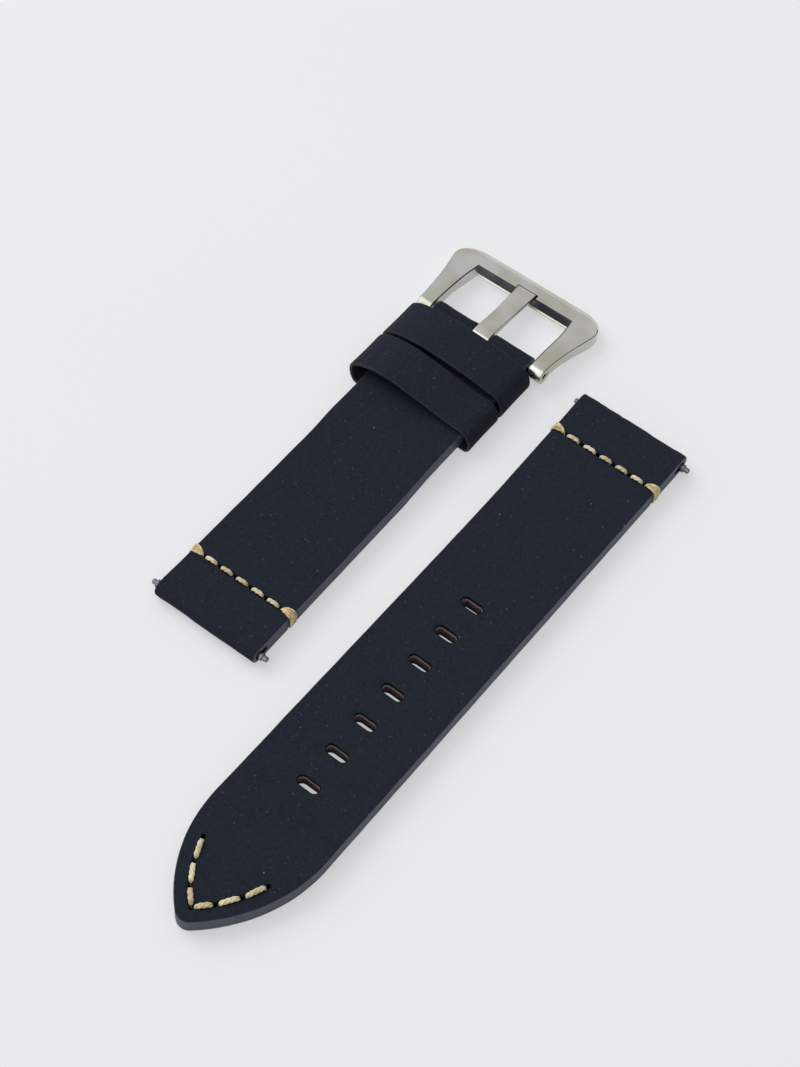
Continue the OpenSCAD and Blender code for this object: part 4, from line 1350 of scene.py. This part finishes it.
def half_stations():
    """(inner point, outer point, how much of the far bar's bevel) from a lug to the middle."""
    found = []
    lug = [pin.x - LUG_R * math.cos(math.radians(4 + 86 * k / 10)) for k in range(11)]
    arm = [pin.x + LUG_R * x for x in (0.25, 0.5, 0.8, 1.2)]
    arm_start, arm_end = pin.x + 3.2, window_s - 1.4
    arm += [arm_start + (arm_end - arm_start) * k / 12 for k in range(13)]
    for s in lug + arm:
        found.append(((s, height_on(inner_arm, s)), (s, height_on(outer_arm, s)), 0.0))
    for k, point in enumerate(corner):
        found.append(((window_s, window_w), point, smooth(k / (len(corner) - 1))))
    for w in (9.0, 6.0, 3.2, 0.0):
        found.append(((window_s, w), (far_s, w), 1.0))
    return found


print("stations from a lug to the middle of the far bar:", len(half_stations()))

# %% [markdown]
# Tumbling breaks every sharp edge of the frame. A Bevel modifier is clamped by its smallest face, so
# the narrow eased strips are part of the section instead, and get a darker steel, as painted
# reflection of dark surroundings. On the way round the corner the outer strip grows into the far bar's
# bevel, and the inner wall gets the small foot that the mill left.

# %% The frame's section
BEVEL_W, BEVEL_DROP = 1.6, 1.05
LIP, LIP_H = 0.25, 0.25
EASED, EASED_IN = 0.11, 0.25
STEEL_FACE, STEEL_WALL_REFLECTION, STEEL_EDGE_REFLECTION = 0, 1, 2
INNER_WALL, INNER_STRIP, OUTER_STRIP = 0, 1, 3


def frame_section(inner, outer, bevelled, sign):
    """Nine corners of the frame's section at one station, from the inner edge of its top."""
    inner, outer = Vector(inner), Vector(outer)
    width = (outer - inner).length
    ease = EASED + (BEVEL_W - EASED) * bevelled
    drop = EASED + (BEVEL_DROP - EASED) * bevelled
    rim = EASED_IN - (EASED_IN - EASED) * bevelled
    crease = outer.lerp(inner, ease / width)
    foot = outer.lerp(inner, (0.03 + 0.37 * bevelled) / width)
    lip = inner.lerp(outer, -LIP * bevelled / width)
    high = [(inner, frame_top(inner.x) - 0.6 * rim), (inner.lerp(outer, rim / width), frame_top(inner.x)),
            (crease, frame_top(crease.x) - 0.03 * bevelled),
            (outer, frame_top(outer.x) - drop)]
    low_edge = min(0.4, 0.03 + 0.37 * bevelled)
    low = [(outer, frame_low(outer.x) + low_edge), (foot, frame_low(foot.x)),
           (lip, frame_low(lip.x)), (lip, frame_low(lip.x) + 0.04 + (LIP_H - 0.04) * bevelled),
           (inner, frame_low(inner.x) + 0.08 + (2 * LIP_H - 0.08) * bevelled)]
    return [(p.x, sign * p.y, z) for p, z in high + low]


def strip_material(k, middle):
    """The material of the strip from corner k - 1 to corner k, round a place on the frame."""
    # The far bar's inner wall and the eased strips get the steels painted dark, as painted reflection.
    if k == INNER_WALL and middle.x > window_s - 0.01:
        return STEEL_WALL_REFLECTION
    outside = abs(middle.y) > BUCKLE_HALF_W - 3 and middle.x < window_s + 1.5
    return STEEL_EDGE_REFLECTION if k == INNER_STRIP or (k == OUTER_STRIP and outside) else STEEL_FACE


print("corners round the frame's section:", len(frame_section(*half_stations()[-1], 1)))

# %% [markdown]
# Two helpers finish metal. One breaks the edges of a plain shape with a Bevel modifier. The other
# keeps an edge sharp where its faces meet at more than a given angle, and smooths the rest.

# %% Broken edges and shading
def break_edges(piece, width, segments, angle, material=-1):
    """material is the index that the bevel's own faces get. With -1 they take their neighbours'."""
    modifier = piece.modifiers.new("broken_edges", "BEVEL")
    modifier.material = material
    modifier.width = width
    modifier.segments = segments
    modifier.limit_method = "ANGLE"
    modifier.angle_limit = math.radians(angle)
    modifier.harden_normals = True
    evaluated(piece)


def shade_by_angle(piece, degrees=28):
    """Merges doubles first, because a split seam would show as a sharp edge."""
    mesh = bmesh.new()
    mesh.from_mesh(piece.data)
    bmesh.ops.remove_doubles(mesh, verts=mesh.verts, dist=1e-5)
    bmesh.ops.dissolve_degenerate(mesh, edges=mesh.edges, dist=1e-6)
    for face in mesh.faces:
        face.smooth = True
    for edge in mesh.edges:
        edge.smooth = not (len(edge.link_faces) == 2 and edge.calc_face_angle() > math.radians(degrees))
    mesh.to_mesh(piece.data)
    mesh.free()
    keep_faces_flat(piece)


# %% [markdown]
# The frame is bored through both lugs for the screw bar, with a wider seat for the screw's head, and
# notched in the far bar, where the tongue rests.

# %% Frame, bored and notched
TONGUE_LAP, NOTCH_CLEAR = 1.0, 0.12
NOTCH_NEAR, NOTCH_FAR, NOTCH_DEPTH = -2.75, 2.4, 1.1
BORE_R, BORE_REACH, SEAT_R, SEAT_DEPTH = 0.92, 20, 1.17, 1.5


def far_bar_notch():
    end, foot = window_s + TONGUE_LAP + NOTCH_CLEAR, FRAME_H - NOTCH_DEPTH
    outline = [Vector(p) for p in ((window_s - 1, NOTCH_NEAR), (end, NOTCH_NEAR),
                                   (end, NOTCH_FAR), (window_s - 1, NOTCH_FAR))]
    # The notch's walls take the far bar's wall steel, painted dark as a reflection.
    return slab(outline, [(foot, 0, STEEL_WALL_REFLECTION), (foot + 3, 0, STEEL_WALL_REFLECTION)], [SATIN, WALL_STEEL_PAINTED_REFLECTION])


def buckle_frame():
    half = half_stations()
    sections = [frame_section(*station, 1) for station in half]
    sections += [frame_section(*station, -1) for station in reversed(half[:-1])]
    mesh = bmesh.new()
    rings = [[mesh.verts.new(p) for p in section] for section in sections]
    for one, two in zip(rings, rings[1:]):
        for k in range(len(one)):
            face = mesh.faces.new((one[k - 1], one[k], two[k], two[k - 1]))
            face.material_index = strip_material(k, (one[k].co + two[k].co) / 2)
    mesh.faces.new(rings[0])
    mesh.faces.new(reversed(rings[-1]))
    bmesh.ops.remove_doubles(mesh, verts=mesh.verts, dist=0.002)
    piece = as_object(mesh, "buckle_frame_dressed", [SATIN, WALL_STEEL_PAINTED_REFLECTION, EDGE_STEEL_PAINTED_REFLECTION])
    cut(piece, [rod(BORE_R, -BORE_REACH, BORE_REACH, (pin.x, pin.z))])
    seat = rod(SEAT_R, -ARM_OUT - 1, -ARM_OUT + SEAT_DEPTH, (pin.x, pin.z))
    cut(piece, [seat, far_bar_notch()])
    shade_by_angle(piece)
    set_in(piece, BUCKLE)
    stand_in(piece, "buckle", "satin_steel", "buckle_frame")
    print(piece.name, len(piece.data.polygons), "faces")


buckle_frame()

# %% [markdown]
# The tongue is a flat bar bent round the screw bar. It sags a little between the screw bar and the
# notch, is narrowest near its root and ends square. Its side view is one closed outline, and its
# width at each place is read from a half plan. The two together give every point, which neither an
# extruded side view nor an extruded plan could.

# %% Tongue
TONGUE_T, TONGUE_RISE = 1.1, 0.3
ACROSS_TONGUE = (-1, -0.5, 0, 0.5, 1)


def tongue_side(tip_s, tip_z):
    crest = tip_z + TONGUE_RISE
    top = bezier((pin.x + 1.3, lug_top + 0.05), (pin.x + 3.5, lug_top - 0.5),
                 (tip_s - 7, crest), (tip_s, tip_z), 20)
    low = bezier((tip_s, tip_z - TONGUE_T + 0.1), (tip_s - 7, crest - TONGUE_T),
                 (pin.x + 6, lug_top - 0.35 - TONGUE_T), (pin.x + LUG_R * 0.95, pin.z + 0.4), 20)
    return top + low + arc((pin.x, pin.z), LUG_R, -10, -258, 24)


def tongue_half_plan(tip_s):
    waist = bezier((pin.x + 2, 1.98), (pin.x + 5, 1.85), (tip_s - 6, 1.95), (tip_s - 1, 2.23), 12)
    return [(pin.x - LUG_R - 0.5, 2.0), (pin.x + 1.4, 2.0)] + waist + [(tip_s, 2.25)]


def tongue():
    tip_s, tip_z = window_s + TONGUE_LAP, FRAME_H + 0.05
    side, plan = tongue_side(tip_s, tip_z), tongue_half_plan(tip_s)
    mesh = bmesh.new()
    rows = [[mesh.verts.new((p.x, height_on(plan, p.x) * share, p.y)) for share in ACROSS_TONGUE]
            for p in side]
    for i in range(len(rows)):
        for k in range(len(ACROSS_TONGUE) - 1):
            mesh.faces.new((rows[i - 1][k], rows[i][k], rows[i][k + 1], rows[i - 1][k + 1]))
    mesh.faces.new([r[0] for r in rows])
    mesh.faces.new([r[-1] for r in rows])
    bmesh.ops.remove_doubles(mesh, verts=mesh.verts, dist=0.002)
    piece = as_object(mesh, "buckle_tongue_dressed", [SATIN, EDGE_STEEL_PAINTED_REFLECTION])
    cut(piece, [rod(0.95, -4, 4, (pin.x, pin.z))])
    # The broken edges get the dark edge steel, a painted reflection of dark surroundings.
    break_edges(piece, 0.17, 2, 40, 1)
    shade_by_angle(piece, 32)
    set_in(piece, BUCKLE)
    stand_in(piece, "tongue", "satin_steel", "buckle_tongue")
    print(piece.name, len(piece.data.polygons), "faces")


tongue()

# %% [markdown]
# The screw bar goes through leather, tongue and lugs. Its head sits in the near lug, almost flush,
# and has a hexagon socket, whose broached walls are painted near black as shade in the hole.

# %% Screw bar with its socket
SCREW_BAR_R, HEAD_R, HEAD_LEN, HEAD_SINK = 0.9, 1.15, 1.2, 0.02
SOCKET_R, SOCKET_DEPTH = 0.7, 0.72


def screw_bar():
    head, place = -ARM_OUT + HEAD_SINK, (pin.x, pin.z)
    materials = [SATIN, SOCKET_STEEL_PAINTED_SHADE]
    piece = rod(SCREW_BAR_R, head + 0.5, ARM_OUT - 0.6, place, "buckle_screw_bar_dressed",
                materials=materials)
    crown = rod(HEAD_R, head, head + HEAD_LEN, place, materials=materials)
    modifier = piece.modifiers.new("head", "BOOLEAN")
    modifier.operation = "UNION"
    modifier.object = crown
    evaluated(piece)
    bpy.data.objects.remove(crown)
    socket = rod(SOCKET_R, head - 1, head + SOCKET_DEPTH, place, sides=6, materials=materials)
    # The socket's walls get the near-black steel, painted shade in the hole.
    for face in socket.data.polygons:
        face.material_index = 1
    cut(piece, [socket])
    break_edges(piece, 0.07, 2, 24)
    shade_by_angle(piece)
    set_in(piece, BUCKLE)
    stand_in(piece, "buckle", "satin_steel", "buckle_screw_bar")
    print(piece.name, len(piece.data.polygons), "faces")


screw_bar()

# %% [markdown]
# ## Steel that keeps its own shape
# The spring bars' tubes, springs and tips are plain turned parts, which the construction already
# has exactly. They only take the finish: turned steel, painted darker as shade on the tips beside the
# leather.

# %% Finish of the turned parts
turned = [node for name, node in frame["nodes"].items() if "_bar_" in name]
for node in turned:
    slots = node.data.materials
    for index in range(len(slots)):
        slots[index] = TURNED_STEEL_PAINTED_SHADE
    if not slots:
        slots.append(TURNED_STEEL_PAINTED_SHADE)
print("turned parts:", len(turned))

# %% [markdown]
# ## Table
# The strap lies on a pale, matt table top that fills the picture evenly. Light that falls off over
# the table would darken its far side. So half of what the camera and mirrored rays see of it is its
# plain colour, and the other half is the lit surface, which keeps the strap's shadow.

# %% Floor
PLAIN_SHARE = 0.5


def pale_floor():
    material, tree, shader = new_material("matt_white_laminate")
    place = object_position(tree)
    shade = blotches(tree, place, 60, 0.3, 0.7, detail=1)
    pale = add(tree, "ShaderNodeMix", {0: shade, 6: colour("eceded"), 7: colour("ebecee")},
               data_type="RGBA").outputs[2]
    plug(tree, shader, {"Base Color": pale, "Roughness": 0.6, "Specular IOR Level": 0.2})
    rays = add(tree, "ShaderNodeLightPath").outputs
    seen = add(tree, "ShaderNodeMath", {0: rays["Is Camera Ray"], 1: rays["Is Glossy Ray"]},
               operation="MAXIMUM").outputs[0]
    part = add(tree, "ShaderNodeMath", {0: seen, 1: PLAIN_SHARE}, operation="MULTIPLY").outputs[0]
    even = add(tree, "ShaderNodeEmission", {"Color": colour("f0f1f3"), "Strength": 1.0}).outputs[0]
    shown = add(tree, "ShaderNodeMixShader", {0: part, 1: shader.outputs[0], 2: even}).outputs[0]
    plug(tree, tree.nodes["Material Output"], {"Surface": shown})
    mesh = bmesh.new()
    bmesh.ops.create_grid(mesh, x_segments=2, y_segments=2, size=3)
    as_object(mesh, "table_top", [material])
    print("table:", material.name)


pale_floor()

# %% [markdown]
# ## Light
# A large soft light stands beyond the buckle half, about as high as it is far, and throws short
# shadows towards the tail half. The world gives an even light from everywhere else. Steel shows what
# it mirrors, so the world also has a dark flag, low on the tail half's side, and a bright card
# that only mirrored rays see. The card whitens the steel that leans its way, and hardly lights the
# leather.

# %% Studio light
def studio():
    world = bpy.data.worlds.new("studio")
    scene.world = world
    world.use_nodes = True
    tree = world.node_tree
    tree.nodes.clear()
    view = add(tree, "ShaderNodeTexCoord").outputs["Generated"]

    def patch(direction, edge, core, low, high):
        """low over most of the sky, and high round one direction, between two cosines from it."""
        facing = add(tree, "ShaderNodeVectorMath", {0: view, 1: direction}, operation="DOT_PRODUCT")
        return add(tree, "ShaderNodeMapRange", {"Value": facing.outputs["Value"], "From Min": edge,
                                                "From Max": core, "To Min": low, "To Max": high}).outputs[0]

    card = patch((-0.64, 0.3, 0.7), edge=0.6, core=0.728, low=0.0, high=0.87)
    mirrored = add(tree, "ShaderNodeLightPath").outputs["Is Glossy Ray"]
    card = add(tree, "ShaderNodeMath", {0: card, 1: mirrored}, operation="MULTIPLY").outputs[0]
    flag = patch((0.4, -0.85, 0.33), edge=0.8, core=0.92, low=0.7, high=0.2)
    level = add(tree, "ShaderNodeMath", {0: card, 1: flag}, operation="ADD").outputs[0]
    glow = add(tree, "ShaderNodeBackground", {0: colour("fbfbfb"), 1: level})
    add(tree, "ShaderNodeOutputWorld", {0: glow.outputs[0]})

    def soft_light(name, direction, distance, size, power):
        lamp = bpy.data.lights.new(name, "AREA")
        lamp.shape = "RECTANGLE"
        lamp.size, lamp.size_y = size
        lamp.energy = power
        made = bpy.data.objects.new(name, lamp)
        place = Vector(direction).normalized() * distance
        made.location = place
        made.rotation_euler = (-place).to_track_quat("-Z", "Y").to_euler()
        scene.collection.objects.link(made)

    soft_light("window_light", (0.05, 0.9, 0.75), distance=2.4, size=(2.0, 1.6), power=30)


studio()
print("world:", scene.world.name)
